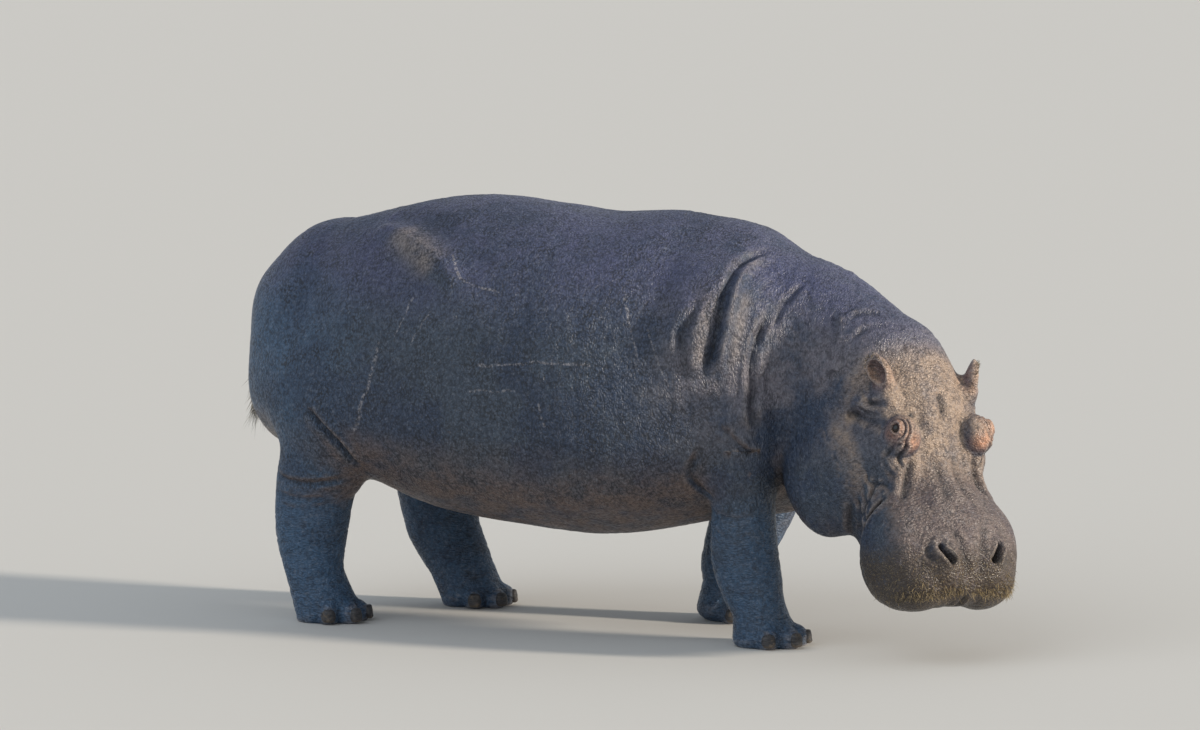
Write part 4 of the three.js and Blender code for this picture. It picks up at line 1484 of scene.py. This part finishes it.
# Each hair has three rings of three points and a tip: how far along each ring is, and how wide.
RINGS, SIDES = [(-0.12, 1.0), (0.3, 0.9), (0.65, 0.65)], 3
POINTS = len(RINGS) * SIDES + 1


def hair_faces():
    """The faces of one hair: its root, its sides and its tip."""
    faces = [(0, 2, 1)]
    for row in (0, SIDES):
        for k in range(SIDES):
            m = (k + 1) % SIDES
            faces.append((row + k, row + m, row + SIDES + m, row + SIDES + k))
    last = POINTS - 1
    return faces + [(last - SIDES + k, last - SIDES + (k + 1) % SIDES, last) for k in range(SIDES)]


def bristles(name, roots, ways, lengths, width, unwrap, straw, droop):
    """Stiff tapered hairs as one piece; straw is the share of pale ones."""
    count = len(roots)
    ways = ways / np.linalg.norm(ways, axis=1)[:, None]
    across = np.cross(ways, rng.normal(size=(count, 3)))
    across /= np.linalg.norm(across, axis=1)[:, None]
    third = np.cross(ways, across)
    bend = rng.normal(size=(count, 3)) * 0.16 + [0, 0, -droop]
    rings = []
    for t, wide in RINGS:
        middle = roots + (ways * t + bend * t * abs(t)) * lengths[:, None]
        for k in range(SIDES):
            turn = 2 * math.pi * k / SIDES
            rings.append(middle + (across * math.cos(turn) + third * math.sin(turn)) * width * wide)
    rings.append(roots + (ways + bend) * lengths[:, None])
    points = np.stack(rings, 1).reshape(-1, 3)
    one = hair_faces()
    faces = [tuple(POINTS * i + v for v in face) for i in range(count) for face in one]
    piece = fresh(name, points, faces)
    tint = np.clip(rng.normal(straw, 0.3, count), 0, 1)
    mark(piece, "tint", np.repeat(tint, POINTS))
    tip = [max(t, 0) for t, _ in RINGS for _ in range(SIDES)] + [1.0]
    mark(piece, "tip", np.tile(tip, count))
    # each hair is a tiny star in the unwrapping, at its root's place
    owner = np.array([loop.vertex_index for loop in piece.data.loops])
    turns = np.arange(POINTS) * 2.1
    star = np.column_stack([np.cos(turns), np.sin(turns)]) * 0.0015
    uv = unwrap(roots)[owner // POINTS] * 0.94 + 0.03 + star[owner % POINTS]
    layer = piece.data.uv_layers.new(name="OFBake")
    layer.data.foreach_set("uv", uv.astype(np.float32).ravel())
    piece.data.materials.append(hair)
    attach(piece, "root")


def bearing(q):
    """How far round the third axis each point lies, 0 to 1."""
    return np.arctan2(q[:, 1], q[:, 0]) / (2 * math.pi) + 0.5


def round_about(axes, centre):
    """Unwraps what lies round a centre by its bearing and height, 0 to 1 both ways."""

    def unwrap(points):
        q = (points - centre) @ axes
        q /= np.maximum(np.linalg.norm(q, axis=1), 1e-6)[:, None]
        return np.column_stack([bearing(q), np.arccos(np.clip(q[:, 2], -1, 1)) / math.pi])

    return unwrap


def along_length(axes, centre, length):
    """Unwraps what lies round a line by its bearing and its place along the line."""

    def unwrap(points):
        q = (points - centre) @ axes
        return np.column_stack([bearing(q), np.clip(q[:, 2] / length + 0.5, 0, 1)])

    return unwrap


hair = bristle_material()
MUZZLE = np.array([600.0, 0.0, -210.0])
MUZZLE_TRIES, EAR_HAIRS, TAIL_HAIRS = 50000, 240, 420


def shoot(ways):
    """Where lines from the muzzle's middle leave it, in the head's frame."""
    points = MUZZLE + ways * 420
    for _ in range(40):
        points -= ways * (np.clip(head_detail(points), -10, 60) * 0.7)[:, None]
    return points


def muzzle_bristles():
    """Whiskers over the lips and the front of the muzzle, thickest low down."""
    ways = rng.normal(size=(MUZZLE_TRIES, 3))
    ways /= np.linalg.norm(ways, axis=1)[:, None]
    forward, outward = ways[:, 0], ways[:, 2]
    wanted = fade(forward, 0.3, 0.85) * fade(outward, -0.75, -0.35) * fade(outward, 0.7, 0.3)
    ways = ways[rng.uniform(size=len(ways)) < wanted * 0.75]
    roots = shoot(ways)
    _, slope = slope_of(head_detail, roots)
    slope /= np.linalg.norm(slope, axis=1)[:, None]
    down = HEAD.T @ [0, 0, -1]
    clear = (np.abs(roots[:, 1]) > 6) & (slope @ down < 0.62)
    roots, slope = roots[clear], slope[clear]
    lie = slope * 0.5 + down * 0.4 + rng.normal(size=roots.shape) * 0.3
    lengths = rng.gamma(3.0, 4.4, len(roots)).clip(5, 32)
    unwrap = round_about(HEAD, from_head(MUZZLE))
    roots, ways = from_head(roots), lie @ HEAD.T
    bristles("muzzle_bristles", roots, ways, lengths, 0.7, unwrap, straw=0.6, droop=0.18)


def ear_bristles():
    """A fringe round the rim of each ear."""
    roots, ways = [], []
    for side in (1, -1):
        axes = ear_frame(side)
        turns = rng.uniform(-0.72, 0.72, EAR_HAIRS) * math.pi
        out = rng.uniform(-2, 12, EAR_HAIRS)
        across = np.sin(turns) * rng.uniform(32, 43, EAR_HAIRS)
        up = 5 + np.cos(turns) * rng.uniform(42, 58, EAR_HAIRS)
        ring = np.column_stack([out, across, up])
        roots.append(from_head(ear_middle(side) + ring @ axes.T))
        lie = np.column_stack([rng.uniform(-0.1, 0.8, EAR_HAIRS), np.sin(turns), np.cos(turns)])
        ways.append(lie @ axes.T @ HEAD.T + rng.normal(size=ring.shape) * 0.2)
    roots, ways = np.concatenate(roots), np.concatenate(ways)
    lengths = rng.uniform(5, 14, len(roots))
    unwrap = round_about(HEAD, from_head([12, 0, 20]))
    bristles("ear_bristles", roots, ways, lengths, 0.6, unwrap, straw=0.3, droop=0.05)


def tail_bristles():
    """Coarse hair down both edges of the tail's flat end, hanging past its tip."""
    end = [[-1300, -4, 975], [-1314, -8, 880], [-1314, -11, 800], [-1312, -12, 752]]
    line = through(end, (len(end) - 1) * rng.uniform(0, 1, TAIL_HAIRS) ** 0.75)
    edge = rng.choice([-1, 1], TAIL_HAIRS) * rng.uniform(0.3, 1.0, TAIL_HAIRS)
    half_width = np.interp(line[:, 2], [740, 980], [16, 34])
    fore_and_aft, up_and_down = rng.normal(0, 7, TAIL_HAIRS), rng.normal(0, 4, TAIL_HAIRS)
    roots = line + np.column_stack([fore_and_aft, edge * half_width, up_and_down])
    backward = rng.normal(-0.12, 0.16, TAIL_HAIRS)
    ways = np.column_stack([backward, edge * 0.35, np.full(TAIL_HAIRS, -1.0)])
    lengths = rng.uniform(45, 115, TAIL_HAIRS)
    unwrap = along_length(np.eye(3), [-1310, -8, 850], 320)
    bristles("tail_bristles", roots, ways, lengths, 1.1, unwrap, straw=0.12, droop=0.1)


muzzle_bristles()
ear_bristles()
tail_bristles()

# ---- camera, lights and floor -------------------------------------------------------------------
AZIMUTH, ELEVATION, DISTANCE = math.radians(22), math.radians(6), 25.0
SENSOR_WIDTH, FOCAL_LENGTH, FAR_END = 36, 211.86, 400
target = Vector((MIDDLE[0] * MM, MIDDLE[1] * MM, 0.925))
reach_out = math.cos(ELEVATION)
back = Vector(
    (math.sin(AZIMUTH) * reach_out, -math.cos(AZIMUTH) * reach_out, math.sin(ELEVATION))
)


def placed(name, data, place, aim):
    """A camera or lamp at a place, turned towards another."""
    made = bpy.data.objects.new(name, data)
    bpy.context.scene.collection.objects.link(made)
    made.location = place
    made.rotation_mode = "QUATERNION"
    made.rotation_quaternion = (Vector(aim) - Vector(place)).to_track_quat("-Z", "Y")
    return made


def lamp(name, energy, place, degrees, colour):
    """A sun whose softness is its width in degrees."""
    sun = bpy.data.lights.new(name, "SUN")
    sun.energy, sun.angle, sun.color = energy, math.radians(degrees), colour
    placed(name, sun, place, (0, 0, 0))


view = bpy.data.cameras.new("camera")
view.sensor_width, view.lens, view.clip_end = SENSOR_WIDTH, FOCAL_LENGTH, FAR_END
bpy.context.scene.camera = placed("camera", view, target + back * DISTANCE, target)
lamp("key", 5.0, (7.0, 0.5, 1.75), 5, (1.0, 0.9, 0.76))
lamp("fill", 0.8, (-3.0, -6.0, 5.0), 60, (0.82, 0.91, 1.0))
world = bpy.data.worlds.new("studio")
bpy.context.scene.world = world
world.use_nodes = True
sky = world.node_tree.nodes["Background"].inputs
sky["Color"].default_value = (0.86, 0.93, 1.0, 1)
sky["Strength"].default_value = 0.5

bpy.ops.object.select_all(action="DESELECT")
bpy.ops.mesh.primitive_plane_add(size=240, location=(0, 0, 0))
floor = bpy.context.object
floor.name = "floor"
pale, _, _ = material("pale floor", {"Base Color": (0.62, 0.6, 0.57, 1), "Roughness": 0.9})
floor.data.materials.append(pale)
bpy.context.scene.view_settings.view_transform = "Standard"
